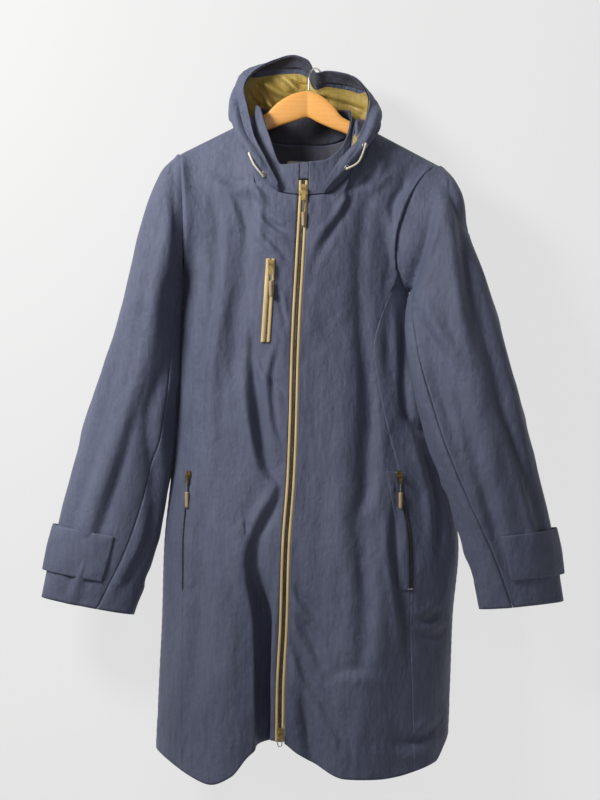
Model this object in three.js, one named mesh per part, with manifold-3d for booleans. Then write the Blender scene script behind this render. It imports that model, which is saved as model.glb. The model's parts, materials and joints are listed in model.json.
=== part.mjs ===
// A hooded raincoat hanging on a wooden hanger with a wire hook.
// Millimetres, +Z up, the front faces -Y. "left" is the side at -X, "right" the side at +X.
// The origin is the inside top of the wire hook, where a peg or rail carries it.

import * as THREE from 'three';
import { mergeVertices } from 'three/addons/utils/BufferGeometryUtils.js';
import Module from 'manifold-3d';

// ---------------------------------------------------------------- driving sizes
const CLOTH = 1.2; // thickness of the shell cloth
const LINING = 0.8; // thickness of the hood lining
const SEAM = 0.4; // gap left between two pieces at a seam
const PROUD = 1.7; // how far the middle of an applied piece stands off its panel

const HANG_Y = -20; // plane of the hanger and of the shoulder seams
const ROUNDNESS = 2.4; // exponent of the body's rounded section
const ARMHOLE_DEPTH = { front: 44, back: 38 };
const FRONT = -1;
const BACK = 1;

const NECK = { x: -20, z: -80, half: 76, front: 52, back: 48, drop: 119, backDrop: 33, tilt: -0.026 };
const SHOULDER = {
  left: { neck: [-96, -78], end: [-205, -132], share: 0.41, lean: 5, backLean: 8, armpit: -310 },
  right: { neck: [56, -82], end: [185, -150], share: 0.37, lean: -40, backLean: -8, armpit: -330 },
};

const ZIP = { chain: 4.8, opening: 13.6, foot: -1000 };
const COLLAR_INSET = 3; // how far the collar's sides stand inside the neckline
const HOOD_SEAM = { out: 4.4, up: 4.4, down: 0.02 }; // hood seam outside the collar seam
const HOOK = { wire: 2.5, radius: 23.25, turn: 30, foot: -38 };
const HANGER = { thick: 12, rise: 41, tip: 18, below: 2.6 };

// ---------------------------------------------------------------- tables of sections
// Side seams and zip line of the body, with its depth in front of and behind the side seam.
const BODY = table(['z', 'left', 'zip', 'right', 'seam', 'front', 'back'], [
  [-290, -198, -25, 134, -17, 58, 38],
  [-374, -204, -30, 142, -17, 62, 40],
  [-450, -208, -33, 152, -18, 66, 42],
  [-531, -212, -35, 170, -18, 70, 44],
  [-610, -218, -38, 194, -19, 73, 46],
  [-723, -229, -46, 213, -20, 76, 48],
  [-828, -232, -49, 204, -20, 80, 50],
  [-933, -237, -54, 200, -20, 84, 52],
  [-1060, -242, -55, 194, -20, 88, 54],
]);

// Height of the front hem along its width, -1 and 1 at the side seams and 0 at the zip.
const HEM = table(['across', 'z'], [
  [-1, -1022], [-0.73, -1052], [-0.54, -1064], [-0.38, -1052], [-0.24, -1020], [-0.08, -1000],
  [0, -1001], [0.1, -1018], [0.21, -1034], [0.38, -1054], [0.59, -1056], [0.92, -1038], [1, -1000],
]);
const BACK_HEM = { left: -1018, right: -998, rise: 12 };

// Half of the neckline from its middle to the shoulder, as shares of its width, depth and drop.
const NECKLINE = table(['turn', 'wide', 'deep', 'low'], [
  [0, 0, 1, 1], [0.25, 0.38, 0.99, 0.975], [0.45, 0.66, 0.93, 0.86], [0.65, 0.88, 0.82, 0.62],
  [0.8, 0.975, 0.64, 0.38], [0.9, 1, 0.48, 0.17], [0.96, 1, 0.3, 0.05], [1, 1, 0, 0],
]);

// Largest folds of the front: where each begins and ends, half its width, and how far it stands out.
const FOLDS = table(['topX', 'topZ', 'footX', 'footZ', 'half', 'height'], [
  [-98, -640, -84, -1070, 20, -17],
  [-140, -420, -154, -1070, 44, 12],
  [-116, -215, -126, -480, 14, -5],
  [84, -190, 70, -900, 16, -6],
  [70, -600, 66, -1070, 50, 12],
  [-34, -780, 0, -1070, 13, -8],
]);

// Rings of the sleeves: outer and inner edge seen from the front, middle and half of the depth.
const SLEEVE = {
  left: table(['outerX', 'outerZ', 'innerX', 'innerZ', 'middle', 'depth'], [
    [-234, -161, -204, -317, -20, 58],
    [-255, -218, -206, -338, -21, 63],
    [-282, -325, -209, -390, -22, 64],
    [-318, -450, -214, -482, -23, 58],
    [-359, -576, -221, -606, -25, 50],
    [-391, -702, -242, -726, -28, 38],
    [-412, -796, -275, -822, -30, 26],
  ]),
  right: table(['outerX', 'outerZ', 'innerX', 'innerZ', 'middle', 'depth'], [
    [210, -178, 148, -338, -32, 54],
    [228, -258, 141, -356, -52, 50],
    [252, -340, 138, -398, -70, 46],
    [286, -462, 152, -490, -80, 44],
    [320, -585, 180, -606, -82, 42],
    [350, -705, 218, -718, -66, 36],
    [366, -800, 243, -812, -50, 26],
  ]),
};
const SLEEVE_SEAM = table(['down', 'front', 'back'], [[0, 172, 205], [0.5, 148, 230], [1, 104, 250]]);

// Top edge of the stand collar: turn 0 front middle, 1 left, 2 back, 3 right, 4 front middle.
const COLLAR = table(['turn', 'x', 'y', 'z'], [
  [0, -18, -74, -150], [0.3, -52, -68, -152], [0.5, -70, -60, -110], [0.75, -85, -42, -64],
  [1, -90, -20, -58], [1.5, -66, 10, -60], [2, -20, 20, -60], [2.5, 26, 10, -61], [3, 50, -20, -66],
  [3.25, 51, -42, -80], [3.5, 42, -58, -116], [3.7, 12, -68, -145], [4, -18, -74, -149],
]);

// The hood from its seam at the neck, over a low roll and its side, up to the rim of its opening.
const HOOD = table(['turn', 'rollX', 'rollY', 'rollZ', 'sideX', 'sideY', 'sideZ', 'rimX', 'rimY', 'rimZ'], [
  [0.29, -57, -80, -189, -58, -82, -186, -57, -83, -182],
  [0.5, -84, -79, -167, -84, -83, -157, -74, -82, -148],
  [0.7, -108, -68, -124, -108, -66, -110, -94, -68, -106],
  [0.9, -129, -38, -84, -124, -28, -60, -103, -42, -66],
  [1.15, -132, -4, -78, -125, -4, -38, -110, -26, -34],
  [1.4, -118, 20, -72, -119, 10, -12, -103, -12, -13],
  [1.6, -92, 32, -62, -104, 16, -2, -84, -4, 4],
  [1.8, -60, 36, -55, -66, 18, 6, -62, 0, 15],
  [2, -26, 37, -52, -32, 17, 8, -36, 2, 22],
  [2.15, -12, 35, -52, -12, 13, 0, -14, 1, 15],
  [2.25, 0, 33, -54, 0, 9, -22, 0, 0, -5],
  [2.38, 16, 33, -58, 16, 11, -16, 16, 1, -2],
  [2.6, 44, 31, -64, 48, 14, -20, 50, 0, -8],
  [2.8, 70, 23, -74, 75, 10, -32, 70, -8, -24],
  [3, 90, 8, -78, 91, 0, -54, 80, -22, -50],
  [3.2, 92, -48, -99, 94, -38, -80, 74, -42, -78],
  [3.4, 74, -70, -128, 74, -72, -116, 58, -68, -116],
  [3.6, 42, -80, -164, 42, -84, -156, 30, -82, -151],
  [3.76, 13, -83, -190, 13, -84, -187, 11, -85, -183],
]);
const FACING = 0.8; // share of the hood's height where lining meets facing

// ---------------------------------------------------------------- materials
const FINISH = {
  shell: ['#4c4f60', 0.75, 0], lining: ['#75652f', 0.7, 0], wood: ['#d69a58', 0.45, 0],
  wire: ['#b9b3a6', 0.3, 1], brass: ['#8a713f', 0.4, 1], tape: ['#8f7747', 0.6, 0],
  chain: ['#4b4b4e', 0.4, 0.8], pull: ['#b29c74', 0.6, 0], cord: ['#8e8a80', 0.8, 0],
  label: ['#d8d0c0', 0.8, 0], drawcord: ['#c9c0ae', 0.8, 0],
};

const wasm = await Module();
wasm.setup();
const garment = new THREE.Group();

// ---------------------------------------------------------------- small helpers
function table(columns, rows) {
  return Object.fromEntries(columns.map((name, i) => [name, rows.map((row) => row[i])]));
}

function mix(a, b, share) {
  return a + (b - a) * share;
}

/** Monotone cubic value of a table's column at a place along its key column. */
function along(rows, key, column, place) {
  const keys = rows[key];
  const values = rows[column];
  const last = keys.length - 1;
  const way = Math.sign(keys[last] - keys[0]);
  if ((place - keys[0]) * way <= 0) return values[0];
  if ((place - keys[last]) * way >= 0) return values[last];
  let i = 0;
  while ((place - keys[i + 1]) * way > 0) i += 1;
  const slope = (j) => (values[j + 1] - values[j]) / (keys[j + 1] - keys[j]);
  const tangent = (j) => {
    if (j === 0) return slope(0);
    if (j === last) return slope(last - 1);
    const product = slope(j - 1) * slope(j);
    return product <= 0 ? 0 : (2 * product) / (slope(j - 1) + slope(j));
  };
  const h = keys[i + 1] - keys[i];
  const t = (place - keys[i]) / h;
  const rise = t * t * (3 - 2 * t);
  return mix(values[i], values[i + 1], rise)
    + h * (t * (1 - t) * (1 - t) * tangent(i) - t * t * (1 - t) * tangent(i + 1));
}

/** Point on the uniform Catmull-Rom curve through the points, place 0 to 1. */
function through(points, place) {
  const last = points.length - 1;
  const spot = Math.min(Math.max(place, 0), 1) * last;
  const i = Math.min(Math.floor(spot), last - 1);
  const t = spot - i;
  const p1 = points[i];
  const p2 = points[i + 1];
  const p0 = i > 0 ? points[i - 1] : p1.clone().multiplyScalar(2).sub(p2);
  const p3 = i + 2 <= last ? points[i + 2] : p2.clone().multiplyScalar(2).sub(p1);
  const weights = [
    -0.5 * t + t * t - 0.5 * t ** 3, 1 - 2.5 * t * t + 1.5 * t ** 3,
    0.5 * t + 2 * t * t - 1.5 * t ** 3, -0.5 * t * t + 0.5 * t ** 3,
  ];
  const point = new THREE.Vector3();
  [p0, p1, p2, p3].forEach((p, k) => point.addScaledVector(p, weights[k]));
  return point;
}

function steps(from, to, count) {
  return Array.from({ length: count + 1 }, (_, i) => mix(from, to, i / count));
}

/** Steps that crowd together towards both ends. */
function easedSteps(from, to, count) {
  return steps(0, Math.PI, count).map((a) => mix(from, to, (1 - Math.cos(a)) / 2));
}

function addMesh(name, geometry, finish) {
  const [color, roughness, metalness] = FINISH[finish];
  const mesh = new THREE.Mesh(geometry, new THREE.MeshStandardMaterial({ color, roughness, metalness }));
  mesh.name = name;
  garment.add(mesh);
  return mesh;
}

/** Closed wall over a lattice of points: `shape(u, v)` is its middle, `lift` moves it out. */
function wall(shape, us, vs, { thick = CLOTH, lift = 0, out = 1 } = {}) {
  const nu = us.length;
  const nv = vs.length;
  const middle = us.map((u) => vs.map((v) => shape(u, v)));
  const pick = (i, j) => middle[Math.min(Math.max(i, 0), nu - 1)][Math.min(Math.max(j, 0), nv - 1)];
  const normal = (i, j) => {
    const du = pick(i + 1, j).clone().sub(pick(i - 1, j));
    const dv = pick(i, j + 1).clone().sub(pick(i, j - 1));
    return du.cross(dv).normalize().multiplyScalar(out);
  };
  const positions = [];
  for (const offset of [lift + thick / 2, lift - thick / 2]) {
    for (let i = 0; i < nu; i += 1) {
      for (let j = 0; j < nv; j += 1) {
        positions.push(...pick(i, j).clone().addScaledVector(normal(i, j), offset).toArray());
      }
    }
  }
  const id = (layer, i, j) => (layer * nu + i) * nv + j;
  const faces = [];
  const quad = (a, b, c, d) => (out > 0 ? faces.push(a, b, c, a, c, d) : faces.push(a, c, b, a, d, c));
  for (let i = 0; i < nu - 1; i += 1) {
    for (let j = 0; j < nv - 1; j += 1) {
      quad(id(0, i, j), id(0, i + 1, j), id(0, i + 1, j + 1), id(0, i, j + 1));
      quad(id(1, i, j), id(1, i, j + 1), id(1, i + 1, j + 1), id(1, i + 1, j));
    }
    quad(id(0, i, 0), id(1, i, 0), id(1, i + 1, 0), id(0, i + 1, 0));
    quad(id(0, i, nv - 1), id(0, i + 1, nv - 1), id(1, i + 1, nv - 1), id(1, i, nv - 1));
  }
  for (let j = 0; j < nv - 1; j += 1) {
    quad(id(0, 0, j), id(0, 0, j + 1), id(1, 0, j + 1), id(1, 0, j));
    quad(id(0, nu - 1, j), id(1, nu - 1, j), id(1, nu - 1, j + 1), id(0, nu - 1, j + 1));
  }
  const geometry = new THREE.BufferGeometry();
  geometry.setAttribute('position', new THREE.Float32BufferAttribute(positions, 3));
  geometry.setIndex(faces);
  return geometry;
}

/** Round cord or wire along points chosen by hand. */
function cordGeometry(points, diameter, sides, count) {
  const path = new THREE.CatmullRomCurve3(points.map((p) => new THREE.Vector3(...p)));
  const section = new THREE.Shape(steps(0, 2 * Math.PI, sides).slice(0, sides).map((a) => (
    new THREE.Vector2(Math.cos(a), Math.sin(a)).multiplyScalar(diameter / 2))));
  return new THREE.ExtrudeGeometry(section, { extrudePath: path, steps: count });
}

function solid(geometry) {
  const bare = geometry.clone();
  bare.deleteAttribute('normal');
  bare.deleteAttribute('uv');
  const merged = mergeVertices(bare, 1e-4);
  return new wasm.Manifold(new wasm.Mesh({
    numProp: 3,
    vertProperties: new Float32Array(merged.attributes.position.array),
    triVerts: new Uint32Array(merged.index.array),
  }));
}

function fromSolid(manifold) {
  const mesh = manifold.getMesh();
  const geometry = new THREE.BufferGeometry();
  geometry.setAttribute('position', new THREE.BufferAttribute(mesh.vertProperties, 3));
  geometry.setIndex(new THREE.BufferAttribute(mesh.triVerts, 1));
  return geometry;
}

function joined(geometries) {
  return fromSolid(geometries.map(solid).reduce((sum, piece) => sum.add(piece)));
}

// ---------------------------------------------------------------- forms of the garment
/** Neckline: turn 0 front middle, 1 left shoulder, 2 back middle, 3 right shoulder, 4 front. */
function neckAt(turn) {
  const inFront = turn <= 1 || turn >= 3;
  const fromMiddle = inFront ? Math.min(turn, 4 - turn) : Math.abs(turn - 2);
  const side = turn < 2 ? -1 : 1;
  const x = NECK.x + side * NECK.half * along(NECKLINE, 'turn', 'wide', fromMiddle);
  const deep = along(NECKLINE, 'turn', 'deep', fromMiddle) * (inFront ? -NECK.front : NECK.back);
  const low = along(NECKLINE, 'turn', 'low', fromMiddle) * (inFront ? NECK.drop : NECK.backDrop);
  return new THREE.Vector3(x, HANG_Y + deep, NECK.z - low + NECK.tilt * (x - NECK.x));
}

/** Shoulder seam and neckline, share -1 and 1 at the shoulder ends and 0 in the middle. */
function topLineAt(share, face) {
  const side = share < 0 ? SHOULDER.left : SHOULDER.right;
  const reach = Math.abs(share);
  if (reach < side.share) {
    const turn = reach / side.share;
    if (face === FRONT) return neckAt(share < 0 ? turn : 4 - turn);
    return neckAt(share < 0 ? 2 - turn : 2 + turn);
  }
  const k = (reach - side.share) / (1 - side.share);
  return new THREE.Vector3(mix(side.neck[0], side.end[0], k), HANG_Y, mix(side.neck[1], side.end[1], k));
}

/** How far the largest folds stand out of the front. */
function foldsAt(x, z) {
  let height = 0;
  FOLDS.topX.forEach((topX, i) => {
    const share = (z - FOLDS.topZ[i]) / (FOLDS.footZ[i] - FOLDS.topZ[i]);
    const inside = Math.min(Math.max(share, 0), 1);
    const fade = Math.sin((Math.PI * Math.min(inside * 1.6, 1)) / 2) ** 2 * (share > 0 ? 1 : 0);
    const away = (x - mix(topX, FOLDS.footX[i], inside)) / FOLDS.half[i];
    const tail = FOLDS.footZ[i] < -1060 ? 1 : Math.cos((Math.PI * inside ** 4) / 2);
    height += FOLDS.height[i] * fade * tail * Math.exp(-away * away);
  });
  return height;
}

/** Body below the armpits. */
function lowerAt(share, down, face) {
  const armpit = mix(SHOULDER.left.armpit, SHOULDER.right.armpit, (share + 1) / 2);
  const backHem = mix(BACK_HEM.left, BACK_HEM.right, (share + 1) / 2) + BACK_HEM.rise * (1 - share * share);
  const hem = face === FRONT ? along(HEM, 'across', 'z', share) : backHem;
  const z = mix(armpit, hem, down - 1);
  const [left, zip, right] = ['left', 'zip', 'right'].map((name) => along(BODY, 'z', name, z));
  const x = share < 0 ? mix(zip, left, -share) : mix(zip, right, share);
  const off = Math.min(Math.abs((2 * (x - left)) / (right - left) - 1), 1);
  const dome = Math.sqrt(Math.max(1 - off ** ROUNDNESS, 0));
  const depth = along(BODY, 'z', face === FRONT ? 'front' : 'back', z);
  const folds = face === FRONT ? foldsAt(x, z) : 0;
  const y = along(BODY, 'z', 'seam', z) + face * (depth + folds) * dome;
  return new THREE.Vector3(x, y, z);
}

/** Body: across -1 to 1 from seam to seam, down 0 at the shoulder, 1 at the armpit, 2 at the hem. */
function torsoAt(across, down, face) {
  const share = Math.sin((Math.PI / 2) * across);
  if (down >= 1) return lowerAt(share, down, face);
  const side = share < 0 ? SHOULDER.left : SHOULDER.right;
  const top = topLineAt(share, face);
  const foot = lowerAt(share, 1, face);
  const reach = Math.abs(share);
  const loop = mix(Math.sin(Math.PI * down) ** 2, 2 * Math.sqrt(down * (1 - down)), reach ** 8);
  const swell = (1 - (1 - down) ** 2.5) ** 0.45;
  const lean = face === FRONT ? side.lean : side.backLean;
  const depth = face === FRONT ? ARMHOLE_DEPTH.front : ARMHOLE_DEPTH.back;
  return new THREE.Vector3(
    mix(top.x, foot.x, down) + lean * loop * reach ** 3,
    mix(top.y, foot.y, swell) + face * depth * loop * reach ** 7,
    mix(top.z, foot.z, down),
  );
}

/** Place on the front panels that shows at x, z: its point and its outward direction. */
function onFront(x, z) {
  let across = 0;
  let down = 1.2;
  const step = 1e-3;
  for (let i = 0; i < 30; i += 1) {
    const here = torsoAt(across, down, FRONT);
    const side = torsoAt(across + step, down, FRONT).sub(here).divideScalar(step);
    const below = torsoAt(across, down + step, FRONT).sub(here).divideScalar(step);
    const det = side.x * below.z - below.x * side.z;
    const [dx, dz] = [x - here.x, z - here.z];
    across = Math.min(Math.max(across + (0.7 * (dx * below.z - below.x * dz)) / det, -0.98), 0.98);
    down = Math.min(Math.max(down + (0.7 * (side.x * dz - dx * side.z)) / det, 0.02), 1.99);
  }
  return { across, down, point: torsoAt(across, down, FRONT) };
}

/** Strip on the front beside a straight line from `from` to `to`, each [x, z]. */
function frontStrip(from, to, [nearSide, farSide], lift, thick, count) {
  const shape = (u, v) => onFront(mix(from[0], to[0], v) + u, mix(from[1], to[1], v)).point;
  return wall(shape, steps(nearSide, farSide, 1), steps(0, 1, count), { thick, lift, out: -1 });
}

/** Share of a front's width that the zip's opening takes. */
function zipShare(down, sign) {
  const halfWidth = Math.abs(torsoAt(sign * 0.05, down, FRONT).x - torsoAt(0, down, FRONT).x) / 0.05;
  return (sign * ZIP.opening) / 2 / halfWidth;
}

function zipX(z) {
  return z > -320 ? mix(-20, -26, (-199 - z) / 121) : along(BODY, 'z', 'zip', z);
}

/** Seam between front and side panel: it leaves the armhole and runs down to the hem. */
function sideSeamAt(down, sign) {
  const leave = 0.8;
  const [high, low] = sign < 0 ? [0.66, 0.56] : [0.44, 0.58];
  if (down <= leave) return sign;
  if (down >= 1.15) return sign * mix(high, low, (down - 1.15) / 0.85);
  const k = (down - leave) / (1.15 - leave);
  return sign * mix(1, high, k * k * (3 - 2 * k));
}

/** Sleeve: turn in degrees, 0 outer, 90 front, 180 inner; down 0 at the armhole, 1 at the cuff. */
function sleeveAt(name, turn, down) {
  const rings = SLEEVE[name];
  const sign = name === 'left' ? -1 : 1;
  const angle = (turn * Math.PI) / 180;
  const armDown = (1 - Math.cos(angle)) / 2;
  const face = Math.sin(angle) >= 0 ? FRONT : BACK;
  const armhole = torsoAt(sign, Math.min(Math.max(armDown, 1e-6), 0.99999), face);
  armhole.x += sign * (SEAM + CLOTH / 2 + 0.4 + 3.6 * armDown ** 2);
  const points = [armhole];
  rings.outerX.forEach((outerX, i) => {
    const [outerZ, innerX, innerZ] = [rings.outerZ[i], rings.innerX[i], rings.innerZ[i]];
    points.push(new THREE.Vector3(
      mix(innerX, outerX, (1 + Math.cos(angle)) / 2),
      rings.middle[i] - rings.depth[i] * Math.sin(angle),
      mix(innerZ, outerZ, (1 + Math.cos(angle)) / 2),
    ));
  });
  return through(points, down);
}

/** Stand collar: turn as the neckline, rise 0 at its seam and 1 at its top edge. */
function collarAt(turn, rise) {
  const foot = neckAt(turn);
  const inward = new THREE.Vector3(NECK.x - foot.x, HANG_Y - foot.y, 0).setLength(COLLAR_INSET);
  const fromMiddle = turn <= 1 || turn >= 3 ? Math.min(turn, 4 - turn) : Math.abs(turn - 2);
  const share = Math.min(Math.max((fromMiddle - 0.2) / 0.4, 0), 1);
  foot.addScaledVector(inward, share).add(new THREE.Vector3(0, 0, 1.5));
  const top = new THREE.Vector3(...['x', 'y', 'z'].map((name) => along(COLLAR, 'turn', name, turn)));
  return foot.lerp(top, rise);
}

/** Hood: turn as the neckline, rise 0 at its seam and 1 at the rim of its opening. */
function hoodAt(turn, rise) {
  const face = turn <= 1 || turn >= 3 ? FRONT : BACK;
  const sign = turn < 2 ? -1 : 1;
  const fromMiddle = face === FRONT ? Math.min(turn, 4 - turn) : Math.abs(turn - 2);
  const share = (sign < 0 ? SHOULDER.left : SHOULDER.right).share * fromMiddle;
  const down = HOOD_SEAM.down * (1 - fromMiddle ** 6) + 2e-5;
  const foot = torsoAt((sign * Math.asin(share)) / (Math.PI / 2), down, face);
  const out = new THREE.Vector3(foot.x - NECK.x, foot.y - HANG_Y, 0).setLength(HOOD_SEAM.out);
  const points = [foot.add(out).add(new THREE.Vector3(0, 0, HOOD_SEAM.up))];
  for (const part of ['roll', 'side', 'rim']) {
    points.push(new THREE.Vector3(...['X', 'Y', 'Z'].map((axis) => along(HOOD, 'turn', part + axis, turn))));
  }
  return through(points, rise);
}

// ---------------------------------------------------------------- hanger and hook
function buildHanger() {
  const arm = ({ neck, end }, inset) => {
    const slope = (end[1] - neck[1]) / (end[0] - neck[0]);
    return (x) => neck[1] + slope * (x - neck[0]) - inset;
  };
  const left = arm(SHOULDER.left, HANGER.below);
  const right = arm(SHOULDER.right, HANGER.below);
  const crown = -36;
  const outline = new THREE.Shape();
  outline.moveTo(-190, left(-190) - HANGER.tip + 3);
  outline.quadraticCurveTo(-200, left(-197) - 9, -193, left(-193));
  outline.lineTo(-76, left(-76));
  outline.quadraticCurveTo(-46, crown - 1, -13, crown);
  outline.quadraticCurveTo(14, crown - 4, 38, right(38));
  outline.lineTo(163, right(163));
  outline.quadraticCurveTo(171, right(168) - 9, 160, right(160) - HANGER.tip + 2);
  outline.lineTo(39, -99);
  outline.quadraticCurveTo(10, -88, -15, crown - HANGER.rise + 1);
  outline.quadraticCurveTo(-42, -84, -70, -94);
  outline.closePath();
  const bevel = 4;
  const geometry = new THREE.ExtrudeGeometry(outline, {
    depth: HANGER.thick - 2 * bevel, bevelEnabled: true, bevelThickness: bevel, bevelSize: 2.2,
    bevelOffset: -2.2, bevelSegments: 2, curveSegments: 7,
  });
  geometry.rotateX(Math.PI / 2);
  geometry.translate(0, HANG_Y + HANGER.thick / 2 - bevel, 0);
  return geometry;
}

function buildHook() {
  const turn = (HOOK.turn * Math.PI) / 180;
  const [alongX, alongY] = [Math.sin(turn), Math.cos(turn)];
  const middleZ = HOOK.wire / 2 - HOOK.radius;
  const points = steps(0, 1, 3).map((k) => (
    [-HOOK.radius * alongX, -HOOK.radius * alongY, mix(HOOK.foot + 2.5, middleZ - 3, k)]));
  steps(180, 0, 12).forEach((degrees) => {
    const angle = (degrees * Math.PI) / 180;
    const reach = HOOK.radius * Math.cos(angle);
    points.push([reach * alongX, reach * alongY, middleZ + HOOK.radius * Math.sin(angle)]);
  });
  return cordGeometry(points, HOOK.wire, 8, 20);
}

// ---------------------------------------------------------------- body panels
const UPPER_ROWS = [2e-5, 0.012, 0.045, 0.12, 0.25, 0.45, 0.7, 0.88, 0.97, 1];
const LOWER_ROWS = steps(1, 2, 11).slice(1);
const DOWN = [...UPPER_ROWS, ...LOWER_ROWS];
const EDGE = 0.003; // share of a face's width left open at each side of a seam
const NECK_TURNS = [1, 0.96, 0.9, 0.8, 0.65, 0.45, 0.25];
const BACK_TURNS = [1, 0.93, 0.8, 0.45];

function buildFront(sign) {
  const shape = (k, down) => {
    const outer = sideSeamAt(down, sign) - sign * EDGE * (down > 0.8 ? 1 : 0.1);
    return torsoAt(mix(outer, zipShare(down, sign), k), down, FRONT);
  };
  const neckShare = sign < 0 ? SHOULDER.left.share : SHOULDER.right.share;
  const open = Math.abs(zipShare(0, sign));
  const neckColumns = NECK_TURNS.map((turn) => (
    (1 - Math.asin(neckShare * turn) / (Math.PI / 2)) / (1 - open)));
  return wall(shape, [0, 0.06, 0.16, 0.3, 0.45, 0.6, ...neckColumns, 1], DOWN, { out: sign });
}

function buildSide(sign) {
  const rows = DOWN.filter((down) => down > 0.86);
  const shape = (k, down) => {
    const inner = sideSeamAt(down, sign);
    return torsoAt(mix(sign * (1 - EDGE), inner + sign * EDGE, k), down, FRONT);
  };
  return wall(shape, steps(0, 1, 4), rows, { out: sign });
}

/** Columns of the back at the turns of the neckline, from one shoulder to the other. */
function backNeckColumns() {
  const column = (share, turn) => Math.asin(share * turn) / (Math.PI / 2);
  return [
    ...BACK_TURNS.map((turn) => -column(SHOULDER.left.share, turn)), 0,
    ...BACK_TURNS.map((turn) => column(SHOULDER.right.share, turn)).reverse(),
  ];
}

function buildBack() {
  const edge = 1 - EDGE;
  const outer = [0.4, 0.55, 0.7, 0.83, 0.93, edge];
  const columns = [...outer.map((column) => -column).reverse(), ...backNeckColumns(), ...outer];
  return wall((u, v) => torsoAt(u, v, BACK), columns, DOWN, { out: 1 });
}

// ---------------------------------------------------------------- sleeves and cuff tabs
const SLEEVE_ROWS = [0, 0.045, 0.1, 0.17, ...steps(0.25, 1, 8)];

function buildSleeve(name, upper) {
  const sign = name === 'left' ? -1 : 1;
  const gap = name === 'left' ? 0.7 : 1.2; // degrees left open at each seam
  const shape = (k, down) => {
    const front = along(SLEEVE_SEAM, 'down', 'front', down);
    const back = along(SLEEVE_SEAM, 'down', 'back', down);
    const turn = upper ? mix(back - 360 + gap, front - gap, k) : mix(front + gap, back - gap, k);
    return sleeveAt(name, (turn + 360) % 360, down);
  };
  return wall(shape, steps(0, 1, upper ? 12 : 5), SLEEVE_ROWS, { out: sign });
}

const TAB = { from: -38, to: 100, top: 0.84, foot: 0.937 };

function buildTab(name) {
  const sign = name === 'left' ? -1 : 1;
  const shape = (turn, down) => {
    const loop = Math.exp(-(((turn + 4) / 16) ** 2)) * 6;
    const point = sleeveAt(name, (turn + 360) % 360, down);
    const near = sleeveAt(name, (turn + 361) % 360, down).sub(sleeveAt(name, (turn + 359) % 360, down));
    const below = sleeveAt(name, (turn + 360) % 360, down + 0.01).sub(point);
    const out = near.cross(below).normalize().multiplyScalar(sign);
    return point.addScaledVector(out, PROUD + 0.6 + loop);
  };
  return wall(shape, steps(TAB.from, TAB.to, 12), steps(TAB.top, TAB.foot, 2), { thick: 1.6, out: sign });
}

// ---------------------------------------------------------------- collar, facing and label
const COLLAR_OPEN = 0.062; // turn left open at the zip

function buildCollar(lift, rises) {
  const quarter = [...NECK_TURNS].reverse();
  const turns = [
    COLLAR_OPEN, ...quarter, ...BACK_TURNS.slice(1).map((turn) => 2 - turn), 2,
    ...[...BACK_TURNS].reverse().map((turn) => 2 + turn), ...NECK_TURNS.slice(1).map((turn) => 4 - turn),
    4 - COLLAR_OPEN,
  ];
  return wall(collarAt, turns, rises, { lift, thick: 1, out: -1 });
}

function buildGarage() {
  const shape = (u, rise) => {
    const middle = collarAt(0, rise).lerp(collarAt(4, rise), 0.5);
    return middle.add(new THREE.Vector3(u, 0, 0));
  };
  return wall(shape, steps(-ZIP.opening / 2 + 0.9, ZIP.opening / 2 - 0.9, 2), steps(0.5, 1, 3), {
    thick: 1.2, out: -1,
  });
}

function buildBackFacing() {
  const columns = backNeckColumns().slice(1, -1);
  const rows = UPPER_ROWS.filter((down) => down > 0.01 && down < 0.5);
  return wall((u, v) => torsoAt(u, v, BACK), columns, rows, { thick: 1, lift: -1.8, out: 1 });
}

function buildLabel() {
  return wall((u, v) => torsoAt(u, v, BACK), steps(-0.055, 0.075, 2), steps(0.12, 0.25, 2), {
    thick: 0.6, lift: -3.6, out: 1,
  });
}

// ---------------------------------------------------------------- hood
const HOOD_SEAMS = [1.45, 2.62]; // where the crown joins the two sides
const HOOD_ENDS = [0.29, 3.76];
const INNER_ENDS = [0.36, 3.68]; // turns where the lining and facing end
const HOOD_TURNS = [0.4, 0.5, 0.6, 0.7, 0.8, 0.9, 0.97, 1.06, 1.2, 1.35, 1.55, 1.67, 1.8, 1.93, 2.05, 2.15,
  2.2, 2.25, 2.3, 2.38, 2.5, 2.72, 2.84, 2.95, 3.04, 3.13, 3.24, 3.36, 3.48, 3.6, 3.68];
const HOOD_RISES = [0, 0.14, 0.3, 0.46, 0.63, FACING, 1];

function buildHoodPart([from, to], [low, high], { lift, thick }) {
  const gap = 0.004;
  const inside = [...HOOD_TURNS, ...HOOD_SEAMS].sort((a, b) => a - b)
    .filter((turn) => turn > from + 0.01 && turn < to - 0.01);
  const rises = HOOD_RISES.filter((rise) => rise > low + 0.01 && rise < high - 0.01);
  return wall(hoodAt, [from + gap, ...inside, to - gap], [low, ...rises, high], { lift, thick, out: -1 });
}

// ---------------------------------------------------------------- zips
function zipLine(down) {
  if (down >= 0) return torsoAt(0, Math.max(down, 2e-5), FRONT);
  const foot = torsoAt(0, 2e-5, FRONT);
  return foot.add(new THREE.Vector3(0, down * 2, -down * 24));
}

function buildZipStrip(from, to, { thick, lift = 0 }) {
  const shape = (u, v) => zipLine(v).add(new THREE.Vector3(u, 0, 0));
  const rows = [-0.95, -0.4, 2e-5, ...easedSteps(0.1, 1, 5), ...LOWER_ROWS];
  return wall(shape, [from, to], rows, { thick, lift, out: -1 });
}

function box(size, centre) {
  return new THREE.BoxGeometry(...size).translate(...centre);
}

/** Eight-sided pin or ring along X. */
function pin(radius, length) {
  return new THREE.CylinderGeometry(radius, radius, length, 8).rotateZ(Math.PI / 2);
}

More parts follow.
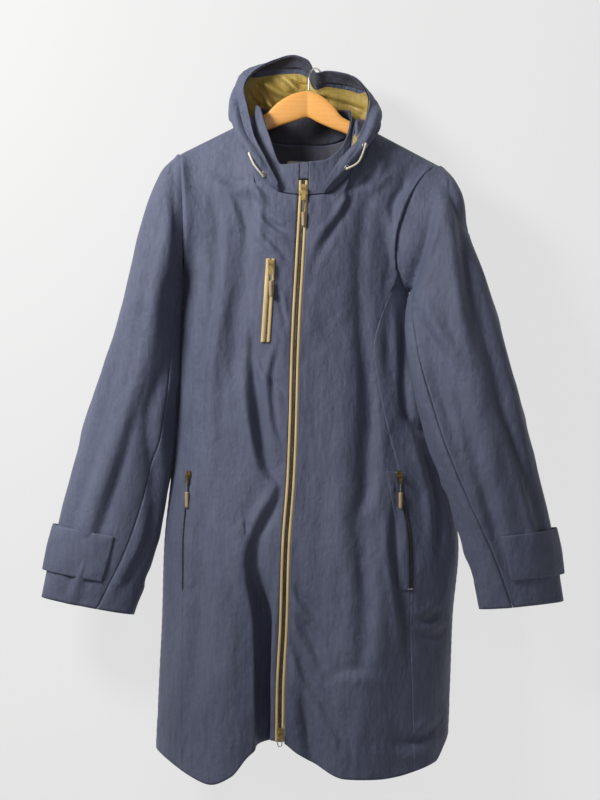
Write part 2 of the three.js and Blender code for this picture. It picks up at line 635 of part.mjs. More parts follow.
/** Zip slider around its hinge pin, with the cloth behind it at +Y. */
function sliderGeometry({ width, length, stand }) {
  const outline = new THREE.Shape();
  outline.moveTo(-width / 2, length / 2);
  outline.lineTo(width / 2, length / 2);
  outline.lineTo(width / 2, -length * 0.1);
  outline.lineTo(width / 3, -length / 2);
  outline.lineTo(-width / 3, -length / 2);
  outline.lineTo(-width / 2, -length * 0.1);
  outline.closePath();
  const plate = new THREE.ExtrudeGeometry(outline, { depth: 1.6, bevelEnabled: false });
  plate.rotateX(Math.PI / 2).translate(0, stand + 1.6, 0);
  const post = box([2, stand + 1.2, 2.6], [0, stand / 2, 0]);
  return joined([plate, post, pin(0.7, 5)]);
}

/** Flat metal tab that hangs from the pin, forked round the slider's post. */
function tabGeometry({ width, length }) {
  const cheek = (x) => pin(2, 1).translate(x, 0, 0);
  const web = (x) => box([1, 1.4, 5], [x, 0, -3]);
  const plate = box([width, 1.4, length - 4], [0, 0, -4 - (length - 4) / 2]);
  const body = [cheek(-1.9), cheek(1.9), web(-1.9), web(1.9), plate].map(solid).reduce((a, b) => a.add(b));
  return fromSolid(body.subtract(solid(pin(1, 8))));
}

/** A slider with its hanging pull: metal tab, short cord and moulded tip, on one hinge. */
function addPull(name, place, { yaw, slider, tab, cord, tip }) {
  const stand = new THREE.Group();
  stand.position.set(...place);
  stand.rotation.set(0, 0, yaw);
  garment.add(stand);
  stand.add(addMesh(`${name}_slider`, sliderGeometry(slider), 'brass'));
  stand.add(addMesh(`${name}_tab`, tabGeometry(tab), 'brass'));
  const cordTop = -tab.length - SEAM;
  const cordFoot = cordTop - cord;
  if (cord > 0) {
    const line = new THREE.CylinderGeometry(1.1, 1.1, cord, 8).rotateX(Math.PI / 2);
    stand.add(addMesh(`${name}_cord`, line.translate(0, 0, (cordTop + cordFoot) / 2), 'cord'));
  }
  if (tip) {
    const end = new THREE.CylinderGeometry(tip.width / 2, tip.width / 2.4, tip.length, 8);
    end.rotateX(Math.PI / 2).translate(0, 0, cordFoot - SEAM - tip.length / 2);
    stand.add(addMesh(`${name}_tip`, end, 'pull'));
  }
}

// ---------------------------------------------------------------- pockets
const CHEST = { from: [-68, -292], to: [-76, -416] };
const HIP = { top: -606, foot: -782, welt: 19 };

function seamX(z, sign) {
  let low = 1;
  let high = 2;
  for (let i = 0; i < 40; i += 1) {
    const middle = (low + high) / 2;
    const point = torsoAt(sideSeamAt(middle, sign), middle, FRONT);
    if (point.z > z) low = middle;
    else high = middle;
  }
  return torsoAt(sideSeamAt(low, sign), low, FRONT).x;
}

function buildHipStrip(sign, [near, far], lift, thick) {
  const shape = (u, v) => {
    const z = mix(HIP.top, HIP.foot, v);
    return onFront(seamX(z, sign) - sign * u, z).point;
  };
  return wall(shape, [near, far], steps(0, 1, 5), { thick, lift, out: sign });
}

// ---------------------------------------------------------------- drawcord
const DRAWCORD = {
  left: { from: [0.6, 0.6], to: [0.45, 0.55], sag: [-2, -5, -2] },
  right: { from: [3.44, 0.6], to: [3.6, 0.55], sag: [3, -6, -8] },
};

function onHood(turn, rise, lift) {
  const here = hoodAt(turn, rise);
  const out = hoodAt(turn + 0.01, rise).sub(here).cross(hoodAt(turn, rise + 0.01).sub(here));
  return here.addScaledVector(out.normalize(), -lift);
}

function buildDrawcord({ from, to, sag }) {
  const ends = [from, to].map(([turn, rise]) => [onHood(turn, rise, 1.4), onHood(turn, rise, 5)]);
  const middle = ends[0][1].clone().add(ends[1][1]).multiplyScalar(0.5).add(new THREE.Vector3(...sag));
  const points = [ends[0][0], ends[0][1], middle, ends[1][1], ends[1][0]];
  return cordGeometry(points.map((p) => p.toArray()), 3, 8, 8);
}

function buildEyelet([turn, rise]) {
  const ring = new THREE.TorusGeometry(3.4, 0.7, 4, 10);
  const out = onHood(turn, rise, 1).sub(onHood(turn, rise, 0));
  ring.applyQuaternion(new THREE.Quaternion().setFromUnitVectors(new THREE.Vector3(0, 0, 1), out));
  const place = onHood(turn, rise, 1.8);
  return ring.translate(place.x, place.y, place.z);
}

// ---------------------------------------------------------------- the whole garment
addMesh('hanger', buildHanger(), 'wood');
addMesh('hanger_hook', buildHook(), 'wire');
addMesh('back_panel', buildBack(), 'shell');
for (const [name, sign] of [['left', -1], ['right', 1]]) {
  addMesh(`front_${name}`, buildFront(sign), 'shell');
  addMesh(`front_side_${name}`, buildSide(sign), 'shell');
  addMesh(`sleeve_upper_${name}`, buildSleeve(name, true), 'shell');
  addMesh(`sleeve_under_${name}`, buildSleeve(name, false), 'shell');
  addMesh(`cuff_tab_${name}`, buildTab(name), 'shell');
  addMesh(`hip_welt_${name}`, buildHipStrip(sign, [3.2, HIP.welt], PROUD, 1.4), 'shell');
  addMesh(`hip_zip_${name}`, buildHipStrip(sign, [-2.6, 2.6], PROUD, 1.2), 'chain');
}

addMesh('collar_outer', buildCollar(0.9, [0, 0.33, 0.67, 1]), 'shell');
addMesh('collar_inner', buildCollar(-0.7, [0, 0.33, 0.67, 1]), 'shell');
addMesh('zip_garage', buildGarage(), 'shell');
addMesh('back_neck_facing', buildBackFacing(), 'shell');
addMesh('neck_label', buildLabel(), 'label');

const hoodCloth = { lift: 0, thick: CLOTH };
const [firstSeam, lastSeam] = HOOD_SEAMS;
addMesh('hood_side_left', buildHoodPart([HOOD_ENDS[0], firstSeam], [0, 1], hoodCloth), 'shell');
addMesh('hood_crown', buildHoodPart(HOOD_SEAMS, [0, 1], hoodCloth), 'shell');
addMesh('hood_side_right', buildHoodPart([lastSeam, HOOD_ENDS[1]], [0, 1], hoodCloth), 'shell');
const liningRises = [0.12, FACING - 0.03];
const facingRises = [FACING + 0.03, 1];
addMesh('hood_lining', buildHoodPart(INNER_ENDS, liningRises, { lift: -2.5, thick: LINING }), 'lining');
addMesh('hood_facing', buildHoodPart(INNER_ENDS, facingRises, { lift: -2.4, thick: 1 }), 'shell');

const half = ZIP.chain / 2;
const tapeFar = ZIP.opening / 2 - SEAM;
addMesh('zip_tape_left', buildZipStrip(-tapeFar, -half - SEAM, { thick: 1 }), 'tape');
addMesh('zip_tape_right', buildZipStrip(half + SEAM, tapeFar, { thick: 1 }), 'tape');
addMesh('zip_chain', buildZipStrip(-half, half, { thick: 2 }), 'chain');

addMesh('chest_zip_tape', frontStrip(CHEST.from, CHEST.to, [-6.5, 6.5], PROUD, 1.2, 4), 'tape');
addMesh('chest_zip_chain', frontStrip(CHEST.from, CHEST.to, [-2, 2], PROUD + 1.7, 1.2, 4), 'chain');

const STAND = 3.2; // from a hinge pin back to the slider's plate
const SLIDER = { width: 8, length: 12, stand: STAND };
const onZip = (z) => torsoAt(0, onFront(zipX(z), z).down, FRONT);
const chestTop = onFront(CHEST.from[0], CHEST.from[1] - 8).point;
const hipAt = (sign) => onFront(seamX(HIP.top - 6, sign), HIP.top - 6).point;

const topPin = zipLine(-0.45);
addPull('main_zip', [topPin.x, topPin.y - STAND - 3.2, topPin.z], {
  yaw: 0, slider: SLIDER, tab: { width: 6, length: 18 }, cord: 16, tip: { width: 6, length: 22 },
});
const footPin = onZip(ZIP.foot + 14);
addPull('hem_zip', [footPin.x, footPin.y - STAND - 3.6, footPin.z], {
  yaw: 0, slider: SLIDER, tab: { width: 5, length: 14 }, cord: 0, tip: null,
});
addPull('chest_zip', [chestTop.x, chestTop.y - STAND - 6, chestTop.z], {
  yaw: 0, slider: SLIDER, tab: { width: 5, length: 16 }, cord: 8, tip: { width: 6, length: 24 },
});
const hipLeft = hipAt(-1);
addPull('hip_zip_pull_left', [hipLeft.x - 4, hipLeft.y - STAND - 5.2, hipLeft.z], {
  yaw: -0.7, slider: SLIDER, tab: { width: 5, length: 12 }, cord: 12, tip: { width: 6, length: 24 },
});
const hipRight = hipAt(1);
addPull('hip_zip_pull_right', [hipRight.x + 2, hipRight.y - STAND - 6, hipRight.z], {
  yaw: 0.4, slider: SLIDER, tab: { width: 5, length: 12 }, cord: 12, tip: { width: 6, length: 24 },
});

for (const [name, cord] of Object.entries(DRAWCORD)) {
  addMesh(`drawcord_${name}`, buildDrawcord(cord), 'drawcord');
  addMesh(`eyelet_${name}_high`, buildEyelet(cord.from), 'brass');
  addMesh(`eyelet_${name}_low`, buildEyelet(cord.to), 'brass');
}

export default garment;
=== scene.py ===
"""A hooded raincoat on a wooden hanger: cloth shells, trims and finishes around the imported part.

Lengths are in millimetres in the part's frame until a mesh is made: +Z is up, the front faces
-Y, and "left" is the side at -X. The origin is the inside top of the hanger's hook.
"""

import json
import logging
import math
from collections.abc import Sequence
from dataclasses import dataclass, field
from enum import Enum

import bpy
import numpy as np
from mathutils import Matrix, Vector

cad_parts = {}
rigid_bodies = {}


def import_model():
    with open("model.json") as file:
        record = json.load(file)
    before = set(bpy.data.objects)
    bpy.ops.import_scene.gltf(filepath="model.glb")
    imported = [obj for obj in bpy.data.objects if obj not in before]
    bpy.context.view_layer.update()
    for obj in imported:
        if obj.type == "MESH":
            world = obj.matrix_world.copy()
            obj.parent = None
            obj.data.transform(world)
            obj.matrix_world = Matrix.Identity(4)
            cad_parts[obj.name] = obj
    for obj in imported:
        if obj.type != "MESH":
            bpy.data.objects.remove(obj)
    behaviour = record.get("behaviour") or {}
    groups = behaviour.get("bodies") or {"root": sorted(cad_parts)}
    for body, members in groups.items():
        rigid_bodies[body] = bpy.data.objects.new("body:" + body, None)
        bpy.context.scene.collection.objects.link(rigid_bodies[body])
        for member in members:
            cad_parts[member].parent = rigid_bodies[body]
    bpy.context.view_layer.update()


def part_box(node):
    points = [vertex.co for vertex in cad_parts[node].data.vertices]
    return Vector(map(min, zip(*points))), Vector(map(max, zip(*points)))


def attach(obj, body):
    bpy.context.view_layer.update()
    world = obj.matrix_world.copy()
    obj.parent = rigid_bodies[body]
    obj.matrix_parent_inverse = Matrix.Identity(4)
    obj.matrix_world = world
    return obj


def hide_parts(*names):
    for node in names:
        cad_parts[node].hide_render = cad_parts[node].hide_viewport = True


LOG = logging.getLogger("raincoat")
MM = 0.001
Array = np.ndarray
Place = tuple[float, float, float]


class Face(Enum):
    """Front or back half of the coat, as the direction in Y that it faces."""

    FRONT = -1
    BACK = 1


class Side(Enum):
    """Left or right of the coat, as the sign of X."""

    LEFT = -1
    RIGHT = 1

    @property
    def word(self) -> str:
        """Name used in piece names."""
        return self.name.lower()


# ---------------------------------------------------------------------------- curves and tables
def mix(start: Array | float, end: Array | float, share: Array | float) -> Array | float:
    """Value a share of the way from start to end."""
    return start + (end - start) * share


def smooth(low: float, high: float, value: Array) -> Array:
    """Soft step from 0 at low to 1 at high."""
    t = np.clip((value - low) / (high - low), 0, 1)
    return t * t * (3 - 2 * t)


def vec(x: Array | float, y: Array | float, z: Array | float) -> Array:
    """Points from three coordinates of one shape."""
    return np.stack(np.broadcast_arrays(x, y, z), -1).astype(float)


def unit(vectors: Array) -> Array:
    """Vectors scaled to length one."""
    return vectors / np.maximum(np.linalg.norm(vectors, axis=-1, keepdims=True), 1e-9)


class Table:
    """Sizes given at a few stations, with a smooth monotone curve between them."""

    def __init__(self, columns: Sequence[str], rows: Sequence[Sequence[float]]) -> None:
        """Stores the rows.

        Args:
            columns: Names of the columns; the first is the station.
            rows: One row for each station.
        """
        values = np.array(rows, float)
        if values[-1, 0] < values[0, 0]:
            values = values[::-1]
        self.station = values[:, 0]
        self.columns = {name: values[:, i] for i, name in enumerate(columns)}

    def at(self, name: str, place: Array | float) -> Array:
        """Value of a column at a place.

        Args:
            name: Column name.
            place: Places along the first column.

        Returns:
            The column's values there.
        """
        keys, values = self.station, self.columns[name]
        place = np.clip(place, keys[0], keys[-1])
        i = np.clip(np.searchsorted(keys, place, side="right") - 1, 0, len(keys) - 2)
        slope = np.diff(values) / np.diff(keys)
        inner = slope[:-1] * slope[1:]
        total = slope[:-1] + slope[1:]
        middle = np.where(inner > 0, 2 * inner / np.where(total == 0, 1, total), 0)
        tangent = np.concatenate([slope[:1], middle, slope[-1:]])
        h = keys[i + 1] - keys[i]
        t = (place - keys[i]) / h
        rise = t * t * (3 - 2 * t)
        bend = t * (1 - t) ** 2 * tangent[i] - t * t * (1 - t) * tangent[i + 1]
        return mix(values[i], values[i + 1], rise) + h * bend

    def point(self, names: Sequence[str], place: Array | float) -> Array:
        """Point whose coordinates are three columns at a place."""
        return vec(*(self.at(name, place) for name in names))


def through(points: Sequence[Array], place: Array | float) -> Array:
    """Smooth curve through points.

    Args:
        points: Points, each an array that ends in x, y, z.
        place: Places from 0 at the first point to 1 at the last.

    Returns:
        The points at those places.
    """
    stack = np.stack(np.broadcast_arrays(*points))
    stack = np.concatenate([2 * stack[:1] - stack[1:2], stack, 2 * stack[-1:] - stack[-2:-1]])
    last = len(points) - 1
    spot = np.clip(place, 0, 1) * last
    i = np.minimum(np.floor(spot).astype(int), last - 1)
    t = np.asarray(spot - i)[..., None]
    shape = np.broadcast_shapes(stack.shape[1:-1], np.shape(i))
    index = np.broadcast_to(i, shape)
    batch = stack.shape[1:-1]
    stack = stack.reshape(len(stack), *(1,) * (len(shape) - len(batch)), *batch, stack.shape[-1])
    stack = np.broadcast_to(stack, (len(stack), *shape, stack.shape[-1]))
    picked = [np.take_along_axis(stack, (index + k)[None, ..., None], 0)[0] for k in range(4)]
    weights = (
        -0.5 * t + t**2 - 0.5 * t**3,
        1 - 2.5 * t**2 + 1.5 * t**3,
        0.5 * t + 2 * t**2 - 1.5 * t**3,
        -0.5 * t**2 + 0.5 * t**3,
    )
    return sum(w * p for w, p in zip(weights, picked, strict=True))


def travelled(line: Array) -> Array:
    """Length run along a line at each of its points."""
    return np.concatenate([[0], np.cumsum(np.linalg.norm(np.diff(line, axis=0), axis=1))])


def sampled(values: Array, gone: Array, places: Array) -> Array:
    """Values along a line, at places given as lengths run."""
    return np.stack([np.interp(places, gone, column) for column in values.T], -1)


def polyline(points: Sequence[Sequence[float]], count: int) -> Array:
    """Evenly placed points on a smooth curve through a few points."""
    dense = through([np.array(p, float) for p in points], np.linspace(0, 1, 40 * len(points)))
    gone = travelled(dense)
    return sampled(dense, gone, np.linspace(0, gone[-1], count))


# ---------------------------------------------------------------------------- folds
class Crease(Enum):
    """Section of a fold: a rounded ridge, or a step with a ridge beside a trough."""

    ROUND = "round"
    STEP = "step"


@dataclass(frozen=True)
class Fold:
    """A fold of the cloth along a line of (x, z) points, seen from the front."""

    line: tuple[tuple[float, float], ...]
    half: float
    height: float
    crease: Crease = Crease.ROUND

    def offset(self, x: Array, z: Array) -> Array:
        """How far this fold lifts the cloth.

        Args:
            x: Places across.
            z: Heights.

        Returns:
            Offsets along the cloth's outward direction.
        """
        nodes = polyline([(px, 0, pz) for px, pz in self.line], 4 * len(self.line))[:, [0, 2]]
        low, high = nodes.min(0) - 3 * self.half, nodes.max(0) + 3 * self.half
        near = (x > low[0]) & (x < high[0]) & (z > low[1]) & (z < high[1])
        lift = np.zeros(np.shape(x))
        if not near.any():
            return lift
        spots = np.stack([x[near], z[near]], -1)
        best = np.full(len(spots), 1e9)
        signed = np.zeros(len(spots))
        share = np.zeros(len(spots))
        steps = len(nodes) - 1
        for i in range(steps):
            run = nodes[i + 1] - nodes[i]
            away = spots - nodes[i]
            raw = (away @ run) / (run @ run)
            t = np.clip(raw, 0, 1)
            gap = away - t[:, None] * run
            distance = np.linalg.norm(gap, axis=1)
            closer = distance < best
            best[closer] = distance[closer]
            cross = run[0] * away[:, 1] - run[1] * away[:, 0]
            signed[closer] = (np.sign(cross) * distance)[closer]
            share[closer] = ((i + t) / steps)[closer]
        t = signed / self.half
        section = np.exp(-t * t) if self.crease is Crease.ROUND else 1.65 * t * np.exp(-t * t)
        ends = np.sin(np.pi * np.clip(share, 0.02, 0.98)) ** 0.6
        lift[near] = self.height * section * ends * (best < 3 * self.half)
        return lift


@dataclass(frozen=True)
class Folds:
    """Several folds together, with a fine unevenness that cloth always has."""

    folds: tuple[Fold, ...]
    ripple: float = 0.5
    depth: float = 1.0

    def offset(self, x: Array, z: Array) -> Array:
        """Sum of all the folds' offsets at places x, z."""
        x, z = np.broadcast_arrays(x, z)
        total = sum((fold.offset(x, z) for fold in self.folds), np.zeros(x.shape))
        wave = np.sin(x / 13 + 2.1 * np.sin(z / 61)) * np.sin(z / 47 + 1.7 * np.sin(x / 29))
        wave += 0.6 * np.sin(x / 7.3 + z / 31) * np.sin(z / 19 - x / 23)
        return self.depth * total + self.ripple * wave

    def mirrored(self, middle: float, drop: float) -> "Folds":
        """Similar folds for the hidden side, swapped about a middle and moved down a little."""
        swapped = (
            Fold(
                tuple((2 * middle - x, z - drop) for x, z in fold.line),
                fold.half,
                0.8 * fold.height,
                fold.crease,
            )
            for fold in self.folds
        )
        return Folds(tuple(swapped), self.ripple, self.depth)


def step_fold(height: float, half: float, *line: tuple[float, float]) -> Fold:
    """Step fold along (x, z) points; the ridge lies left of the way down when height is below 0."""
    return Fold(line, half, height, Crease.STEP)


def round_fold(height: float, half: float, *line: tuple[float, float]) -> Fold:
    """Rounded ridge, or trough where height is below 0, along (x, z) points."""
    return Fold(line, half, height, Crease.ROUND)


# ---------------------------------------------------------------------------- form of the coat
@dataclass(frozen=True)
class Shoulder:
    """One shoulder: its seam from neck to sleeve, and how the armhole runs below it."""

    neck: tuple[float, float]
    end: tuple[float, float]
    share: float
    lean: float
    back_lean: float
    armpit: float


@dataclass(frozen=True)
class CoatForm:
    """The hanging form of the whole coat, as surfaces over simple shares of its panels."""

    hang_y: float = -20.0
    roundness: float = 2.4
    arm_front: float = 44.0
    arm_back: float = 38.0
    neck_x: float = -20.0
    neck_z: float = -80.0
    neck_half: float = 76.0
    neck_front: float = 52.0
    neck_back: float = 48.0
    neck_drop: float = 119.0
    neck_back_drop: float = 33.0
    neck_tilt: float = -0.026
    zip_opening: float = 13.6
    collar_inset: float = 3.0
    hood_out: float = 4.4
    seam: float = 1.4
    left: Shoulder = Shoulder((-96, -78), (-205, -132), 0.41, 5, 8, -310)
    right: Shoulder = Shoulder((56, -82), (185, -150), 0.37, -40, -8, -330)
    body: Table = Table(
        ("z", "left", "zip", "right", "seam", "front", "back"),
        (
            (-290, -198, -25, 134, -17, 58, 38),
            (-374, -204, -30, 142, -17, 62, 40),
            (-450, -208, -33, 152, -18, 66, 42),
            (-531, -212, -35, 170, -18, 70, 44),
            (-610, -218, -38, 194, -19, 73, 46),
            (-723, -229, -46, 213, -20, 76, 48),
            (-828, -232, -49, 204, -20, 80, 50),
            (-933, -237, -54, 200, -20, 84, 52),
            (-1060, -242, -55, 194, -20, 88, 54),
        ),
    )
    hem: Table = Table(
        ("across", "z"),
        (
            (-1, -1022),
            (-0.73, -1052),
            (-0.54, -1064),
            (-0.38, -1052),
            (-0.24, -1020),
            (-0.08, -1000),
            (0, -1001),
            (0.1, -1018),
            (0.21, -1034),
            (0.38, -1054),
            (0.59, -1056),
            (0.92, -1038),
            (1, -1000),
        ),
    )
    back_hem: tuple[float, float, float] = (-1018, -998, 12)
    neckline: Table = Table(
        ("turn", "wide", "deep", "low"),
        (
            (0, 0, 1, 1),
            (0.25, 0.38, 0.99, 0.975),
            (0.45, 0.66, 0.93, 0.86),
            (0.65, 0.88, 0.82, 0.62),
            (0.8, 0.975, 0.64, 0.38),
            (0.9, 1, 0.48, 0.17),
            (0.96, 1, 0.3, 0.05),
            (1, 1, 0, 0),
        ),
    )
    swells: Table = Table(
        ("number", "top_x", "top_z", "foot_x", "foot_z", "half", "height"),
        (
            (0, -98, -640, -84, -1070, 20, -17),
            (1, -140, -420, -154, -1070, 44, 12),
            (2, -116, -215, -126, -480, 14, -5),
            (3, 84, -190, 70, -900, 16, -6),
            (4, 70, -600, 66, -1070, 50, 12),
            (5, -34, -780, 0, -1070, 13, -8),
        ),
    )
    sleeve_left: Table = Table(
        ("ring", "outer_x", "outer_z", "inner_x", "inner_z", "middle", "depth"),
        (
            (1, -234, -161, -204, -317, -20, 58),
            (2, -255, -218, -206, -338, -21, 63),
            (3, -282, -325, -209, -390, -22, 64),
            (4, -318, -450, -214, -482, -23, 58),
            (5, -359, -576, -221, -606, -25, 50),
            (6, -391, -702, -242, -726, -28, 38),
            (7, -412, -796, -275, -822, -30, 26),
        ),
    )
    sleeve_right: Table = Table(
        ("ring", "outer_x", "outer_z", "inner_x", "inner_z", "middle", "depth"),
        (
            (1, 210, -178, 148, -338, -32, 54),
            (2, 228, -258, 141, -356, -52, 50),
            (3, 252, -340, 138, -398, -70, 46),
            (4, 286, -462, 152, -490, -80, 44),
            (5, 320, -585, 180, -606, -82, 42),
            (6, 350, -705, 218, -718, -66, 36),
            (7, 366, -800, 243, -812, -50, 26),
        ),
    )
    sleeve_seam: Table = Table(
        ("down", "front", "back"), ((0, 172, 205), (0.5, 148, 230), (1, 104, 250))
    )
    collar: Table = Table(
        ("turn", "x", "y", "z"),
        (
            (0, -18, -74, -150),
            (0.3, -52, -68, -152),
            (0.5, -70, -60, -110),
            (0.75, -85, -42, -64),
            (1, -90, -20, -58),
            (1.5, -66, 10, -60),
            (2, -20, 20, -60),
            (2.5, 26, 10, -61),
            (3, 50, -20, -66),
            (3.25, 51, -42, -80),
            (3.5, 42, -58, -116),
            (3.7, 12, -68, -145),
            (4, -18, -74, -149),
        ),
    )
    hood: Table = Table(
        ("turn", *(f"{part}_{axis}" for part in ("roll", "side", "rim") for axis in "xyz")),
        (
            (0.29, -57, -80, -189, -58, -82, -186, -57, -83, -182),
            (0.5, -84, -79, -167, -84, -83, -157, -74, -82, -148),
            (0.7, -108, -68, -124, -108, -66, -110, -94, -68, -106),
            (0.9, -129, -38, -84, -124, -28, -60, -103, -42, -66),
            (1.15, -132, -4, -78, -125, -4, -38, -110, -26, -34),
            (1.4, -118, 20, -72, -119, 10, -12, -103, -12, -13),
            (1.6, -92, 32, -62, -104, 16, -2, -84, -4, 4),
            (1.8, -60, 36, -55, -66, 18, 6, -62, 0, 15),
            (2, -26, 37, -52, -32, 17, 8, -36, 2, 22),
            (2.15, -12, 35, -52, -12, 13, 0, -14, 1, 15),
            (2.25, 0, 33, -54, 0, 9, -22, 0, 0, -5),
            (2.38, 16, 33, -58, 16, 11, -16, 16, 1, -2),
            (2.6, 44, 31, -64, 48, 14, -20, 50, 0, -8),
            (2.8, 70, 23, -74, 75, 10, -32, 70, -8, -24),
            (3, 90, 8, -78, 91, 0, -54, 80, -22, -50),
            (3.2, 92, -48, -99, 94, -38, -80, 74, -42, -78),
            (3.4, 74, -70, -128, 74, -72, -116, 58, -68, -116),
            (3.6, 42, -80, -164, 42, -84, -156, 30, -82, -151),
            (3.76, 13, -83, -190, 13, -84, -187, 11, -85, -183),
        ),
    )

    def neck_at(self, turn: Array | float) -> Array:
        """Neckline by turn: 0 front, 1 left shoulder, 2 back, 3 right shoulder, 4 front."""
        turn = np.asarray(turn, float)
        front = (turn <= 1) | (turn >= 3)
        away = np.where(front, np.minimum(turn, 4 - turn), np.abs(turn - 2))
        side = np.where(turn < 2, -1, 1)
        x = self.neck_x + side * self.neck_half * self.neckline.at("wide", away)
        deep = self.neckline.at("deep", away) * np.where(front, -self.neck_front, self.neck_back)
        low = self.neckline.at("low", away) * np.where(front, self.neck_drop, self.neck_back_drop)
        return vec(x, self.hang_y + deep, self.neck_z - low + self.neck_tilt * (x - self.neck_x))

    def top_line(self, share: Array, face: Face) -> Array:
        """Shoulder seams and neckline; share is -1 and 1 at the shoulder ends."""
        share = np.asarray(share, float)
        result = np.zeros((*share.shape, 3))
        for sign, side in ((-1, self.left), (1, self.right)):
            reach = np.clip(sign * share, 0, 1)
            turn = np.minimum(reach / side.share, 1)
            if face is Face.FRONT:
                neck = self.neck_at(np.where(sign < 0, turn, 4 - turn))
            else:
                neck = self.neck_at(2 + sign * turn)
            k = (reach - side.share) / (1 - side.share)
            x, z = (mix(side.neck[axis], side.end[axis], k) for axis in (0, 1))
            seam = vec(x, self.hang_y, z)
            here = np.where((reach < side.share)[..., None], neck, seam)
            mine = (share < 0) if sign < 0 else (share >= 0)
            result = np.where(mine[..., None], here, result)
        return result

    def swell_at(self, x: Array, z: Array) -> Array:
        """How far the largest soft folds stand out of the front."""
        height = np.zeros(np.shape(x))
        rows = self.swells.columns
        for i in range(len(rows["number"])):
            top_z, foot_z = rows["top_z"][i], rows["foot_z"][i]
            share = (z - top_z) / (foot_z - top_z)
            inside = np.clip(share, 0, 1)
            fade = np.sin(np.pi * np.minimum(inside * 1.6, 1) / 2) ** 2 * (share > 0)
            away = (x - mix(rows["top_x"][i], rows["foot_x"][i], inside)) / rows["half"][i]
            tail = 1 if foot_z < -1060 else np.cos(np.pi * inside**4 / 2)
            height = height + rows["height"][i] * fade * tail * np.exp(-away * away)
        return height

    def lower_at(self, share: Array, down: Array, face: Face) -> Array:
        """Body below the armpits."""
        armpit = mix(self.left.armpit, self.right.armpit, (share + 1) / 2)
        if face is Face.FRONT:
            hem = self.hem.at("z", share)
        else:
            left, right, rise = self.back_hem
            hem = mix(left, right, (share + 1) / 2) + rise * (1 - share * share)
        z = mix(armpit, hem, down - 1)
        left, middle, right = (self.body.at(name, z) for name in ("left", "zip", "right"))
        x = np.where(share < 0, mix(middle, left, -share), mix(middle, right, share))
        off = np.minimum(np.abs(2 * (x - left) / (right - left) - 1), 1)
        dome = np.sqrt(np.maximum(1 - off**self.roundness, 0))
        depth = self.body.at("front" if face is Face.FRONT else "back", z)
        swell = self.swell_at(x, z) if face is Face.FRONT else 0
        return vec(x, self.body.at("seam", z) + face.value * (depth + swell) * dome, z)

    def torso_at(self, across: Array | float, down: Array | float, face: Face) -> Array:
        """Body surface.

        Args:
            across: -1 to 1 from side to side.
            down: 0 at the shoulder or neckline, 1 at the armpit and 2 at the hem.
            face: Front or back.

        Returns:
            Points in millimetres.
        """
        across, down = np.broadcast_arrays(np.asarray(across, float), np.asarray(down, float))
        share = np.sin(np.pi / 2 * across)
        high = np.clip(down, 0, 1)
        top = self.top_line(share, face)
        foot = self.lower_at(share, np.maximum(down, 1), face)
        reach = np.abs(share)
        loop = mix(np.sin(np.pi * high) ** 2, 2 * np.sqrt(high * (1 - high)), reach**8)
        swell = (1 - (1 - high) ** 2.5) ** 0.45
        leans = ("lean", "arm_front") if face is Face.FRONT else ("back_lean", "arm_back")
        lean = np.where(share < 0, getattr(self.left, leans[0]), getattr(self.right, leans[0]))
        depth = getattr(self, leans[1])
        upper = vec(
            mix(top[..., 0], foot[..., 0], high) + lean * loop * reach**3,
            mix(top[..., 1], foot[..., 1], swell) + face.value * depth * loop * reach**7,
            mix(top[..., 2], foot[..., 2], high),
        )
        return np.where((down < 1)[..., None], upper, foot)

    def on_front(self, x: Array, z: Array) -> tuple[Array, Array]:
        """Shares of the front panels that show at x, z.

        Args:
            x: Places across.
            z: Heights.

        Returns:
            The shares across and down.
        """
        x, z = np.broadcast_arrays(np.asarray(x, float), np.asarray(z, float))
        across, down, step = np.zeros(x.shape), np.full(x.shape, 1.2), 1e-3
        for _ in range(30):
            here = self.torso_at(across, down, Face.FRONT)
            side = (self.torso_at(across + step, down, Face.FRONT) - here) / step
            below = (self.torso_at(across, down + step, Face.FRONT) - here) / step
            det = side[..., 0] * below[..., 2] - below[..., 0] * side[..., 2]
            dx, dz = x - here[..., 0], z - here[..., 2]
            move = 0.7 * (dx * below[..., 2] - below[..., 0] * dz) / det
            across = np.clip(across + move, -0.98, 0.98)
            down = np.clip(down + 0.7 * (side[..., 0] * dz - dx * side[..., 2]) / det, 0.02, 1.99)
        return across, down

    def zip_share(self, down: Array, side: Side) -> Array:
        """Share of a front's width that half the zip's opening takes."""
        near = self.torso_at(side.value * 0.05, down, Face.FRONT)[..., 0]
        width = np.abs(near - self.torso_at(0, down, Face.FRONT)[..., 0]) / 0.05
        return side.value * self.zip_opening / 2 / width

    def side_seam(self, down: Array, side: Side) -> Array:
        """Share across of the seam between front and side panel."""
        high, low = (0.66, 0.56) if side is Side.LEFT else (0.44, 0.58)
        k = np.clip((down - 0.8) / 0.35, 0, 1)
        above = mix(1, high, k * k * (3 - 2 * k))
        return side.value * np.where(down < 1.15, above, mix(high, low, (down - 1.15) / 0.85))

    def seam_x(self, z: Array, side: Side) -> Array:
        """Place across of the side seam at a height on the front."""
        down = np.linspace(1, 2, 400)
        line = self.torso_at(self.side_seam(down, side), down, Face.FRONT)
        return np.interp(-np.asarray(z, float), -line[:, 2], line[:, 0])

